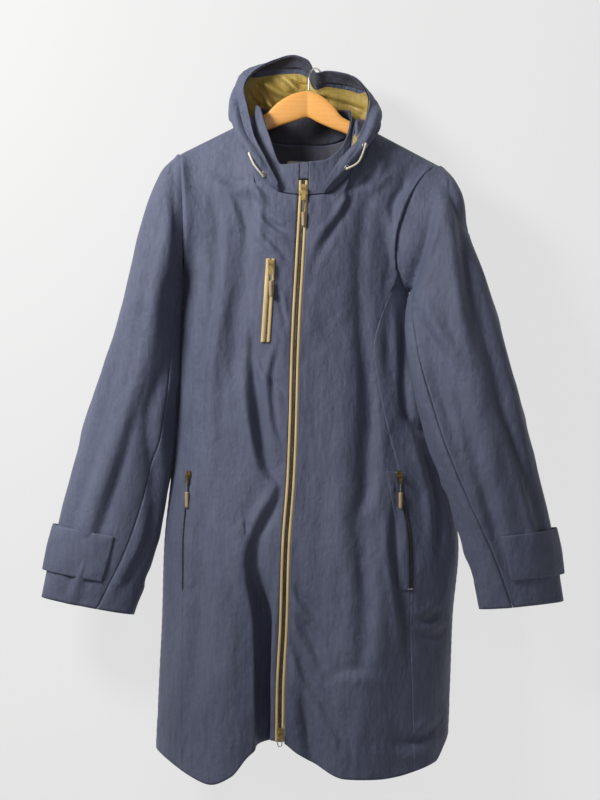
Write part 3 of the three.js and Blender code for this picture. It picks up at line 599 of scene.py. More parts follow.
    def sleeve_at(self, side: Side, turn: Array, down: Array) -> Array:
        """Sleeve surface.

        Args:
            side: Which sleeve.
            turn: Degrees, 0 outer, 90 front, 180 inner.
            down: 0 at the armhole and 1 at the cuff.

        Returns:
            Points in millimetres.
        """
        turn, down = np.broadcast_arrays(np.asarray(turn, float) % 360, np.asarray(down, float))
        rings = self.sleeve_left if side is Side.LEFT else self.sleeve_right
        angle = np.radians(turn)
        arm = np.clip((1 - np.cos(angle)) / 2, 1e-6, 0.99999)
        front = self.torso_at(side.value, arm, Face.FRONT)
        back = self.torso_at(side.value, arm, Face.BACK)
        start = np.where((np.sin(angle) >= 0)[..., None], front, back)
        start[..., 0] += side.value * (self.seam + 3.6 * arm**2)
        points = [start]
        for i in range(len(rings.station)):
            row = {name: column[i] for name, column in rings.columns.items()}
            round_share = (1 + np.cos(angle)) / 2
            x = mix(row["inner_x"], row["outer_x"], round_share)
            z = mix(row["inner_z"], row["outer_z"], round_share)
            points.append(vec(x, row["middle"] - row["depth"] * np.sin(angle), z))
        return through(points, down)

    def collar_at(self, turn: Array, rise: Array) -> Array:
        """Stand collar: turn as the neckline, rise 0 at its seam and 1 at its top edge."""
        turn, rise = np.broadcast_arrays(np.asarray(turn, float), np.asarray(rise, float))
        foot = self.neck_at(turn)
        inward = vec(self.neck_x - foot[..., 0], self.hang_y - foot[..., 1], 0)
        away = np.where((turn <= 1) | (turn >= 3), np.minimum(turn, 4 - turn), np.abs(turn - 2))
        share = np.clip((away - 0.2) / 0.4, 0, 1)[..., None]
        foot = foot + share * self.collar_inset * unit(inward) + vec(0, 0, 1.5)
        return mix(foot, self.collar.point(("x", "y", "z"), turn), rise[..., None])

    def hood_at(self, turn: Array, rise: Array) -> Array:
        """Hood: turn as the neckline, rise 0 at its seam and 1 at the rim of its opening."""
        turn, rise = np.broadcast_arrays(np.asarray(turn, float), np.asarray(rise, float))
        front = (turn <= 1) | (turn >= 3)
        sign = np.where(turn < 2, -1, 1)
        away = np.where(front, np.minimum(turn, 4 - turn), np.abs(turn - 2))
        share = np.where(sign < 0, self.left.share, self.right.share) * away
        down = 0.02 * (1 - away**6) + 2e-5
        across = sign * np.arcsin(share) / (np.pi / 2)
        ahead, behind = (self.torso_at(across, down, face) for face in (Face.FRONT, Face.BACK))
        foot = np.where(front[..., None], ahead, behind)
        out = unit(vec(foot[..., 0] - self.neck_x, foot[..., 1] - self.hang_y, 0))
        points = [foot + self.hood_out * out + vec(0, 0, self.hood_out)]
        for part in ("roll", "side", "rim"):
            points.append(self.hood.point((f"{part}_x", f"{part}_y", f"{part}_z"), turn))
        return through(points, rise)

    def zip_line(self, down: Array) -> Array:
        """Middle of the main zip; down below 0 goes up into the collar."""
        down = np.asarray(down, float)
        here = self.torso_at(0, np.maximum(down, 2e-5), Face.FRONT)
        over = np.minimum(down, 0)
        return here + vec(0, 2 * over, -24 * over)


# ---------------------------------------------------------------------------- surface finishes
class Shade:
    """A number that varies over a surface, as a node socket that Python's operators extend."""

    def __init__(self, paint: "Paint", socket: bpy.types.NodeSocket) -> None:
        """Wraps a socket of a material under construction."""
        self.paint = paint
        self.socket = socket

    def _math(self, operation: str, first: "Shade | float", second: "Shade | float") -> "Shade":
        """Adds one Math node and returns its result."""
        node = self.paint.node("ShaderNodeMath", {"operation": operation}, {0: first, 1: second})
        return Shade(self.paint, node.outputs[0])

    def __add__(self, other: "Shade | float") -> "Shade":
        """Sum."""
        return self._math("ADD", self, other)

    def __radd__(self, other: float) -> "Shade":
        """Sum, number first."""
        return self._math("ADD", other, self)

    def __sub__(self, other: "Shade | float") -> "Shade":
        """Difference."""
        return self._math("SUBTRACT", self, other)

    def __rsub__(self, other: float) -> "Shade":
        """Difference, number first."""
        return self._math("SUBTRACT", other, self)

    def __mul__(self, other: "Shade | float") -> "Shade":
        """Product."""
        return self._math("MULTIPLY", self, other)

    def __rmul__(self, other: float) -> "Shade":
        """Product, number first."""
        return self._math("MULTIPLY", other, self)

    def wave(self) -> "Shade":
        """Sine of the value."""
        return self._math("SINE", self, 0.0)

    def ramp(self, low: float, high: float) -> "Shade":
        """Soft step from 0 at low to 1 at high."""
        node = self.paint.node(
            "ShaderNodeMapRange",
            {"interpolation_type": "SMOOTHSTEP"},
            {0: self, 1: low, 2: high},
        )
        return Shade(self.paint, node.outputs[0])


Colour = tuple[float, float, float]


class Paint:
    """One material under construction around a Principled shader."""

    def __init__(self, name: str, constants: dict[str, float | tuple[float, ...]]) -> None:
        """Starts a material.

        Args:
            name: Material name.
            constants: Values of the shader's own sockets.
        """
        self.material = bpy.data.materials.new(name)
        self.material.use_nodes = True
        self.tree = self.material.node_tree
        self.shader = self.tree.nodes["Principled BSDF"]
        for socket, value in constants.items():
            self.shader.inputs[socket].default_value = value
        place = self.node("ShaderNodeTexCoord", {}, {})
        self.place = place.outputs["Object"]
        parts = self.node("ShaderNodeSeparateXYZ", {}, {0: self.place})
        self.x, self.y, self.z = (Shade(self, parts.outputs[i]) for i in range(3))

    def node(
        self, kind: str, settings: dict[str, object], sockets: dict[int | str, object]
    ) -> bpy.types.Node:
        """Adds a node.

        Args:
            kind: Node type.
            settings: Its own settings, set first.
            sockets: Values or links of its inputs.

        Returns:
            The node.
        """
        node = self.tree.nodes.new(kind)
        for name, value in settings.items():
            setattr(node, name, value)
        for key, value in sockets.items():
            if isinstance(value, Shade):
                value = value.socket
            if isinstance(value, bpy.types.NodeSocket):
                self.tree.links.new(value, node.inputs[key])
            else:
                node.inputs[key].default_value = value
        return node

    def stretched(self, scale: tuple[float, float, float]) -> bpy.types.NodeSocket:
        """Place on the surface, scaled along each axis."""
        values = {0: self.place, 1: scale}
        node = self.node("ShaderNodeVectorMath", {"operation": "MULTIPLY"}, values)
        return node.outputs[0]

    def noise(self, scale: tuple[float, float, float], detail: float = 3.0) -> Shade:
        """Cloudy noise with that many cells per metre along each axis."""
        node = self.node(
            "ShaderNodeTexNoise",
            {},
            {"Vector": self.stretched(scale), "Scale": 1.0, "Detail": detail},
        )
        return Shade(self, node.outputs[0])

    def blend(self, share: Shade, first: object, second: object) -> bpy.types.NodeSocket:
        """Mixes two colours by a share."""
        colours = [(*c, 1.0) if isinstance(c, tuple) else c for c in (first, second)]
        node = self.node(
            "ShaderNodeMix", {"data_type": "RGBA"}, {0: share, 6: colours[0], 7: colours[1]}
        )
        return node.outputs[2]

    def feed(self, socket: str, value: object) -> None:
        """Links a varying value to one of the shader's sockets."""
        value = value.socket if isinstance(value, Shade) else value
        self.tree.links.new(value, self.shader.inputs[socket])

    def emboss(self, height: Shade, distance: float, strength: float = 1.0) -> None:
        """Raises the surface's fine relief by a height, in metres at full height."""
        node = self.node(
            "ShaderNodeBump", {}, {"Height": height, "Distance": distance, "Strength": strength}
        )
        self.feed("Normal", node.outputs[0])


@dataclass(frozen=True)
class Cloth:
    """Woven cloth: colour, sheen, threads and soft crumple."""

    name: str
    slot: str
    colour: Colour
    deep: Colour
    roughness: float = 0.62
    sheen: float = 0.12
    sheen_tint: Colour = (0.75, 0.78, 0.9)
    thread: float = 0.45
    crumple: float = 0.0028

    def dress(self) -> bpy.types.Material:
        """Builds the material."""
        paint = Paint(
            self.name,
            {
                "Sheen Weight": self.sheen,
                "Sheen Roughness": 0.4,
                "Sheen Tint": (*self.sheen_tint, 1.0),
                "Specular IOR Level": 0.35,
            },
        )
        turns = 2 * math.pi / (self.thread * MM)
        warp = (paint.x * turns).wave() + (paint.y * turns).wave()
        weave = warp * (paint.z * turns).wave()
        broad = paint.noise((5.0, 5.0, 2.4), 4.0)
        slub = paint.noise((260.0, 260.0, 30.0), 2.0)
        tone = (broad * 0.75 + slub * 0.35).ramp(0.32, 0.78)
        paint.feed("Base Color", paint.blend(tone, self.deep, self.colour))
        paint.feed("Roughness", broad * 0.16 + (self.roughness - 0.08))
        crease = paint.noise((34.0, 34.0, 17.0), 5.0)
        fine = paint.noise((150.0, 150.0, 120.0), 3.0)
        relief = crease * 1.0 + fine * 0.16 + weave * (0.012 * self.thread)
        paint.emboss(relief, self.crumple * 2.2)
        return paint.material


@dataclass(frozen=True)
class Wood:
    """Varnished wood with its grain along X."""

    name: str = "varnished_wood"
    slot: str = "wood"
    pale: Colour = (1.0, 0.52, 0.14)
    dark: Colour = (0.92, 0.4, 0.09)

    def dress(self) -> bpy.types.Material:
        """Builds the material."""
        paint = Paint(self.name, {"Coat Roughness": 0.18, "Coat Weight": 0.35})
        drift = paint.noise((6.0, 12.0, 14.0), 3.0)
        rings = (paint.z * 900.0 + drift * 34.0 + paint.x * 60.0).wave()
        pores = paint.noise((60.0, 900.0, 900.0), 3.0)
        paint.feed("Base Color", paint.blend(rings * 0.16 + pores * 0.85, self.dark, self.pale))
        paint.feed("Roughness", pores * 0.2 + 0.32)
        paint.emboss(pores + rings * 0.1, 0.00012)
        return paint.material


@dataclass(frozen=True)
class Metal:
    """Cast or drawn metal with worn edges and fine scratches."""

    name: str
    slot: str
    colour: Colour
    dull: Colour
    roughness: float = 0.34

    def dress(self) -> bpy.types.Material:
        """Builds the material."""
        paint = Paint(self.name, {"Metallic": 1.0})
        patina = paint.noise((420.0, 420.0, 300.0), 4.0)
        scratch = paint.noise((3000.0, 3000.0, 500.0), 2.0)
        paint.feed("Base Color", paint.blend(patina.ramp(0.35, 0.65), self.dull, self.colour))
        paint.feed("Roughness", patina * 0.25 + (self.roughness - 0.1))
        paint.emboss(patina * 0.6 + scratch * 0.2, 0.00012)
        return paint.material


@dataclass(frozen=True)
class Plastic:
    """Moulded plastic or resin."""

    name: str
    slot: str
    colour: Colour
    dull: Colour
    roughness: float = 0.5

    def dress(self) -> bpy.types.Material:
        """Builds the material."""
        paint = Paint(self.name, {"Specular IOR Level": 0.4})
        grain = paint.noise((900.0, 900.0, 900.0), 3.0)
        cloud = paint.noise((130.0, 130.0, 90.0), 2.0)
        paint.feed("Base Color", paint.blend(cloud, self.dull, self.colour))
        paint.feed("Roughness", grain * 0.2 + (self.roughness - 0.1))
        paint.emboss(grain, 0.00008)
        return paint.material


@dataclass(frozen=True)
class Plain:
    """Plain wall or floor of the studio."""

    name: str
    colour: Colour
    glow: float

    def dress(self) -> bpy.types.Material:
        """Builds the material."""
        paint = Paint(
            self.name,
            {
                "Base Color": (*self.colour, 1.0),
                "Roughness": 0.95,
                "Emission Color": (*self.colour, 1.0),
                "Emission Strength": self.glow,
                "Specular IOR Level": 0.1,
            },
        )
        return paint.material


class Finish(Enum):
    """Every finish on the coat and its hanger."""

    SHELL = Cloth("navy_shell", "shell_cloth", (0.125, 0.139, 0.212), (0.078, 0.088, 0.142))
    # The shell's own cloth again, painted darker as shade for the collar's inner side, the hood's
    # facing and the back neck facing.
    FACING = Cloth("navy_facing", "shell_cloth", (0.075, 0.078, 0.105), (0.058, 0.06, 0.085))
    LINING = Cloth(
        "olive_lining",
        "hood_lining",
        (0.56, 0.41, 0.11),
        (0.3, 0.215, 0.05),
        roughness=0.42,
        sheen=0.15,
        sheen_tint=(0.9, 0.8, 0.4),
        thread=0.35,
        crumple=0.0014,
    )
    WOOD = Wood()
    WIRE = Metal("hook_wire", "hook_wire", (0.78, 0.75, 0.68), (0.5, 0.48, 0.43), 0.3)
    BRASS = Metal("old_brass", "brass", (0.62, 0.47, 0.2), (0.36, 0.26, 0.11), 0.36)
    TEETH = Metal("zip_teeth", "zip_teeth", (0.34, 0.32, 0.29), (0.14, 0.135, 0.13), 0.4)
    TAPE = Cloth(
        "golden_tape",
        "zip_tape",
        (0.8, 0.6, 0.29),
        (0.52, 0.38, 0.17),
        sheen_tint=(0.9, 0.85, 0.6),
        thread=0.6,
        crumple=0.0002,
    )
    DARK_TAPE = Cloth("dark_tape", "zip_teeth", (0.06, 0.06, 0.07), (0.04, 0.04, 0.05), thread=0.6)
    CORD = Cloth("pull_cord", "pull_cord", (0.24, 0.22, 0.19), (0.15, 0.14, 0.125), crumple=0.0003)
    TIP = Plastic("pull_tip", "pull_tip", (0.46, 0.36, 0.22), (0.37, 0.28, 0.17))
    DRAWCORD = Cloth(
        "drawcord", "drawcord", (0.72, 0.66, 0.55), (0.55, 0.5, 0.4), thread=1.1, crumple=0.0003
    )
    LABEL = Cloth("blank_label", "label", (0.95, 0.9, 0.83), (0.88, 0.83, 0.76), crumple=0.0003)
    THREAD = Cloth("stitch_thread", "shell_cloth", (0.085, 0.09, 0.13), (0.06, 0.065, 0.1))
    PALE_THREAD = Cloth("bartack_thread", "label", (0.5, 0.5, 0.52), (0.4, 0.4, 0.42))


class Wardrobe:
    """Hands out one material for each finish."""

    def __init__(self) -> None:
        """Starts with none made."""
        self.made: dict[Finish, bpy.types.Material] = {}

    def material(self, finish: Finish) -> bpy.types.Material:
        """The finish's material, built on first use."""
        if finish not in self.made:
            self.made[finish] = finish.value.dress()
        return self.made[finish]


# ---------------------------------------------------------------------------- cloth panels
@dataclass
class Lattice:
    """A panel's middle surface, as columns across by rows down, with its outer side known."""

    points: Array
    outward: int

    @property
    def normals(self) -> Array:
        """Directions out of the cloth at each point."""
        across = np.gradient(self.points, axis=0)
        down = np.gradient(self.points, axis=1)
        return unit(np.cross(across, down)) * self.outward

    def gone(self, axis: int) -> Array:
        """Lengths run along an axis from its first edge."""
        run = np.linalg.norm(np.diff(self.points, axis=axis), axis=-1)
        pad = [(1, 0) if i == axis else (0, 0) for i in range(2)]
        return np.cumsum(np.pad(run, pad), axis=axis)

    def from_edges(self) -> tuple[Array, Array, Array, Array]:
        """Distances from the first and last column and the first and last row."""
        across, down = self.gone(0), self.gone(1)
        return across, across[-1:] - across, down, down[:, -1:] - down

    def lifted(self, offset: Array | float) -> "Lattice":
        """The lattice moved out of the cloth by an offset."""
        offset = np.broadcast_to(offset, self.points.shape[:2])
        return Lattice(self.points + self.normals * offset[..., None], self.outward)

    def eased(self, rows: Array, centre: float, reach: float, rounds: int = 14) -> "Lattice":
        """The lattice with its kink at a row rounded off."""
        points = self.points.copy()
        weight = (0.5 * np.exp(-(((rows - centre) / reach) ** 2)))[None, 1:-1, None]
        for _ in range(rounds):
            middle = (points[:, 2:] + points[:, :-2]) / 2
            points[:, 1:-1] += weight * (middle - points[:, 1:-1])
        return Lattice(points, self.outward)

    def column_beside(self, last: bool, distance: float) -> tuple[Array, Array]:
        """Line down the panel beside its first or last column.

        Args:
            last: Whether to measure from the last column.
            distance: Distance from that edge.

        Returns:
            Points of the line and the directions out of the cloth.
        """
        across, back, _, _ = self.from_edges()
        away = back if last else across
        normals = self.normals
        line, out = [], []
        for j in range(self.points.shape[1]):
            order = np.argsort(away[:, j])
            keys = away[order, j]
            line.append(sampled(self.points[order, j], keys, distance))
            out.append(sampled(normals[order, j], keys, distance))
        return np.array(line), unit(np.array(out))

    def row_beside(self, last: bool, distance: float) -> tuple[Array, Array]:
        """Line across the panel beside its first or last row, as column_beside."""
        turned = Lattice(self.points.transpose(1, 0, 2), -self.outward)
        return turned.column_beside(last, distance)

    def cut(self) -> tuple[float, float, float]:
        """Width and length along the cloth, and its area, in metres.

        That raises the area of the hood's facing, which is narrow at its ends.
        """
        least_share = 0.31
        across, down = self.gone(0), self.gone(1)
        p = self.points
        diagonals = p[1:, 1:] - p[:-1, :-1], p[:-1, 1:] - p[1:, :-1]
        area = np.linalg.norm(np.cross(*diagonals), axis=-1).sum() / 2
        width, length = across[-1].max() * MM, down[:, -1].max() * MM
        whole = width * length
        return width, length, min(max(area * MM * MM, least_share * whole), whole)


class Workshop:
    """Makes meshes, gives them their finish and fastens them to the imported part."""

    def __init__(self) -> None:
        """Starts with an empty wardrobe."""
        self.wardrobe = Wardrobe()

    def mesh(
        self,
        name: str,
        points: Array,
        faces: Array,
        finish: Finish,
        stands_for: Sequence[str] = (),
        body: str = "root",
        flat: bool = False,
    ) -> bpy.types.Object:
        """Makes one object.

        Args:
            name: Piece name.
            points: Points in millimetres.
            faces: Rows of point numbers, three or four each.
            finish: Its finish.
            stands_for: CAD nodes that it replaces.
            body: CAD body that it rides on.
            flat: Whether its faces are shaded flat.

        Returns:
            The object.
        """
        data = bpy.data.meshes.new(name)
        data.from_pydata((points.reshape(-1, 3) * MM).tolist(), [], faces.tolist())
        data.validate()
        data.polygons.foreach_set("use_smooth", [not flat] * len(data.polygons))
        piece = bpy.data.objects.new(name, data)
        bpy.context.scene.collection.objects.link(piece)
        piece.data.materials.append(self.wardrobe.material(finish))
        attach(piece, body)
        if stands_for:
            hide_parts(*stands_for)
        LOG.info("%s: %d faces", name, len(faces))
        return piece

    def shell(
        self, name: str, lattice: Lattice, thick: float, finish: Finish, node: str | None = None
    ) -> bpy.types.Object:
        """Makes a closed cloth shell with rounded edges.

        Args:
            name: Piece name.
            lattice: Middle surface.
            thick: Thickness of the cloth.
            finish: Its finish.
            node: CAD node that it replaces.

        Returns:
            The object.
        """
        n, m = lattice.points.shape[:2]
        normals = lattice.normals
        upper = lattice.points + normals * thick / 2
        lower = lattice.points - normals * thick / 2
        index = np.arange(2 * n * m).reshape(2, n, m)
        top, under = index
        corners = [top[:-1, :-1], top[1:, :-1], top[1:, 1:], top[:-1, 1:]]
        quads = np.stack(corners, -1).reshape(-1, 4)
        below = np.stack([under[:-1, :-1], under[:-1, 1:], under[1:, 1:], under[1:, :-1]], -1)
        sides = [index[:, :, 0], index[:, -1, 1:], index[:, -2::-1, -1], index[:, 0, -2::-1]]
        edge = np.concatenate(sides, 1)
        rim = np.stack([edge[0, :-1], edge[1, :-1], edge[1, 1:], edge[0, 1:]], -1)
        faces = np.concatenate([quads, below.reshape(-1, 4), rim])
        if lattice.outward < 0:
            faces = faces[:, ::-1]
        points = np.concatenate([upper.reshape(-1, 3), lower.reshape(-1, 3)])
        return self.mesh(name, points, faces, finish, (node,) if node else ())

    def panel(
        self,
        name: str,
        lattice: Lattice,
        thick: float,
        finish: Finish,
        rests_on: Sequence[str] = ("hanger",),
    ) -> bpy.types.Object:
        """Makes the shell of a sewn panel that replaces the CAD node of its name."""
        piece = self.shell(f"{name}_cloth", lattice, thick, finish, name)
        width, length, area = lattice.cut()
        LOG.info("%s cut %.0f by %.0f mm, %.4f m2", name, width / MM, length / MM, area)
        return piece

    def tube(
        self,
        name: str,
        path: Array,
        radius: float | Array,
        finish: Finish,
        stands_for: Sequence[str] = (),
        body: str = "root",
        sides: int = 12,
    ) -> bpy.types.Object:
        """Makes a round cord, wire or pin along points."""
        tangent = unit(np.gradient(path, axis=0))
        guide = np.array([0.31, 0.93, 0.2])
        first = unit(np.cross(tangent, guide))
        second = np.cross(tangent, first)
        turn = np.linspace(0, 2 * np.pi, sides, endpoint=False)
        reach = np.broadcast_to(radius, len(path))[:, None, None]
        turned = turn[None, :, None]
        ring = first[:, None] * np.cos(turned) + second[:, None] * np.sin(turned)
        wall = (path[:, None] + ring * reach).reshape(-1, 3)
        points = np.concatenate([wall, path[:1], path[-1:]])
        index = np.arange(len(path) * sides).reshape(len(path), sides)
        after = np.roll(index, -1, axis=1)
        sides_of = np.stack([index[:-1], after[:-1], after[1:], index[1:]], -1).reshape(-1, 4)
        low, high = len(points) - 2, len(points) - 1
        caps = [(low, int(a), int(b)) for b, a in zip(index[0], after[0], strict=True)]
        caps += [(high, int(a), int(b)) for a, b in zip(index[-1], after[-1], strict=True)]
        faces = np.empty(len(sides_of) + len(caps), object)
        faces[:] = [tuple(q) for q in sides_of.tolist()] + caps
        return self.mesh(name, points, faces, finish, stands_for, body)


@dataclass
class Stitching:
    """Rows of short raised stitches laid along lines on the cloth."""

    workshop: Workshop
    long: float = 2.3
    gap: float = 1.0
    wide: float = 0.5
    proud: float = 0.75
    rows: list[Array] = field(default_factory=list)

    def run(self, line: Array, out: Array, keep: tuple[float, float] = (0.0, 1.0)) -> None:
        """Lays stitches along a line.

        Args:
            line: Points on the middle of the cloth.
            out: Directions out of the cloth.
            keep: Shares of the line between which it is sewn.
        """
        gone = travelled(line)
        first, last = (share * gone[-1] for share in keep)
        places = np.arange(first + 1, last - self.long, self.long + self.gap)
        if not len(places):
            return
        start, end = (sampled(line, gone, places + step) for step in (0, self.long))
        up = unit(sampled(out, gone, places + self.long / 2))
        along = unit(end - start)
        side = np.cross(along, up) * self.wide / 2
        middle = (start + end) / 2
        base, crest = up * (self.proud - 0.45), up * (self.proud + 0.12)
        corners = [start + base, end + base, middle + side + base, middle - side + base]
        corners += [mix(start, end, 0.2) + crest, mix(start, end, 0.8) + crest]
        self.rows.append(np.stack(corners, 1))

    def finish(self, name: str, finish: Finish = Finish.THREAD) -> None:
        """Makes all the stitches laid so far into one piece."""
        corners = np.concatenate(self.rows)
        top = ((0, 2, 4), (2, 5, 4), (2, 1, 5), (0, 4, 3))
        one = np.array((*top, (3, 4, 5), (3, 5, 1), (0, 3, 2), (2, 3, 1)))
        faces = (one[None] + 6 * np.arange(len(corners))[:, None, None]).reshape(-1, 3)
        self.workshop.mesh(name, corners.reshape(-1, 3), faces, finish, flat=True)
        self.rows.clear()


def groove(away: Array, depth: float = 0.8, half: float = 2.2) -> Array:
    """Dip of the cloth into a seam, by the distance from it."""
    return -depth * np.exp(-((away / half) ** 2))


def pucker(away: Array, along: Array, height: float = 0.35) -> Array:
    """Small puckers beside a line of stitches."""
    return height * np.exp(-((away / 9) ** 2)) * np.sin(along / 2.1 + 1.3 * np.sin(along / 17))


# ---------------------------------------------------------------------------- body
FRONT_FOLDS = Folds(
    (
        step_fold(-2.4, 6, (-100, -168), (-84, -190), (-58, -212)),
        step_fold(2.0, 5, (-96, -196), (-78, -214), (-52, -232), (-34, -240)),
        step_fold(-1.8, 5, (-86, -228), (-66, -246), (-40, -262)),
        step_fold(-1.8, 6, (-128, -196), (-116, -224), (-108, -256)),
        step_fold(1.6, 5, (-62, -330), (-50, -360), (-40, -400)),
        step_fold(-2.2, 7, (-60, -420), (-70, -470), (-64, -540), (-50, -570)),
        round_fold(-12.0, 7, (-92, -770), (-86, -820), (-84, -920), (-83, -1000), (-82, -1070)),
        round_fold(4.0, 11, (-68, -800), (-68, -900), (-70, -1000), (-70, -1070)),
        step_fold(-1.8, 6, (60, -140), (52, -170), (30, -200)),
        step_fold(1.8, 6, (96, -150), (78, -176), (44, -196)),
        round_fold(-3.4, 9, (-112, -205), (-109, -262), (-118, -331), (-127, -400), (-126, -480)),
        step_fold(-3.6, 12, (-110, -215), (-107, -270), (-114, -340), (-122, -420), (-120, -500)),
        step_fold(-3.2, 9, (-104, -373), (-101, -429), (-91, -531), (-84, -590)),
        step_fold(-5.4, 11, (-108, -440), (-98, -520), (-80, -600), (-54, -634)),
        step_fold(-4.2, 11, (-50, -622), (-72, -660), (-92, -700), (-101, -750)),
        step_fold(-7.5, 15, (-106, -700), (-100, -760), (-86, -835), (-84, -930), (-82, -1070)),
        round_fold(-5.0, 10, (-94, -740), (-80, -835), (-79, -940), (-78, -1040)),
        step_fold(3.4, 13, (-44, -742), (-62, -800), (-70, -880), (-74, -960)),
        step_fold(2.6, 12, (-150, -190), (-140, -260), (-146, -350), (-160, -470), (-160, -620)),
        round_fold(2.4, 18, (-160, -230), (-158, -330), (-166, -470), (-176, -640), (-180, -800)),
        step_fold(-2.2, 16, (-184, -640), (-178, -760), (-186, -880), (-196, -1000)),
        step_fold(2.2, 8, (-92, -175), (-88, -215), (-87, -262)),
        step_fold(-2.0, 7, (-90, -246), (-70, -268), (-54, -286), (-44, -300)),
        step_fold(-2.6, 7, (-72, -194), (-52, -210), (-30, -222)),
        step_fold(2.0, 6, (-80, -218), (-62, -236), (-40, -246)),
        step_fold(-1.8, 7, (-96, -420), (-74, -470), (-44, -500)),
        # right of the zip
        step_fold(3.0, 9, (31, -171), (12, -204), (-6, -236)),
        step_fold(-2.4, 9, (56, -176), (36, -222), (8, -262), (-10, -300)),
        step_fold(3.8, 13, (88, -180), (80, -234), (73, -304), (73, -373), (76, -442), (82, -531)),
        round_fold(-3.0, 10, (92, -190), (86, -260), (80, -340), (80, -440), (84, -540)),
        step_fold(3.0, 16, (85, -520), (83, -583), (80, -637), (68, -680), (74, -741), (80, -793)),
        step_fold(2.8, 17, (76, -740), (82, -800), (80, -850), (72, -888), (60, -905)),
        round_fold(3.2, 24, (46, -420), (44, -540), (40, -660), (44, -800)),
        step_fold(-3.0, 10, (-40, -776), (-20, -804), (-2, -824)),
        step_fold(-3.6, 11, (-36, -812), (-18, -850), (4, -902)),
        step_fold(-3.0, 12, (-42, -850), (-10, -925), (26, -990), (40, -1012)),
        round_fold(-2.0, 8, (-22, -930), (-14, -980), (-8, -1030)),
        step_fold(-1.6, 12, (20, -912), (56, -900), (96, -908)),
        step_fold(1.6, 12, (112, -962), (140, -998), (188, -972)),
        step_fold(-1.4, 12, (96, -1010), (140, -1016), (180, -1000)),
        step_fold(1.8, 11, (136, -820), (160, -822), (184, -806)),
        step_fold(1.6, 10, (142, -836), (168, -846), (190, -836)),
        step_fold(-3.2, 10, (112, -640), (108, -720), (118, -800), (130, -880)),
        step_fold(
            4.6, 10, (140, -160), (134, -188), (120, -215), (127, -263), (133, -318), (138, -345)
        ),
        step_fold(4.0, 9, (122, -300), (132, -380), (134, -470), (140, -520)),
        step_fold(3.4, 9, (132, -470), (142, -520), (160, -540), (176, -534)),
        step_fold(-3.0, 10, (146, -560), (160, -600), (172, -650), (176, -720)),
        step_fold(2.6, 10, (104, -232), (116, -300), (112, -380), (116, -480)),
        step_fold(2.0, 9, (108, -160), (86, -178), (62, -196)),
        step_fold(-2.2, 9, (-150, -172), (-124, -184), (-98, -182)),
    ),
    ripple=0.7,
    depth=2.1,
)
BACK_FOLDS = Folds(
    (
        step_fold(4.4, 16, (-80, -150), (-92, -300), (-84, -480), (-96, -700), (-104, -990)),
        step_fold(-4.8, 18, (40, -160), (46, -330), (62, -520), (70, -760), (84, -1000)),
        step_fold(-3.6, 13, (-20, -330), (-34, -480), (-30, -700), (-46, -980)),
        round_fold(4.0, 20, (10, -420), (14, -620), (22, -1000)),
        step_fold(3.2, 11, (-170, -320), (-150, -420), (-156, -600), (-170, -900)),
        step_fold(-3.4, 12, (110, -330), (122, -470), (120, -640), (138, -900)),
        step_fold(-2.4, 9, (-150, -200), (-90, -240), (-30, -250)),
        step_fold(2.4, 9, (120, -220), (60, -246), (0, -254)),
        step_fold(3.0, 12, (-60, -800), (-20, -880), (30, -1000)),
    ),
    ripple=0.6,
    depth=2.0,
)


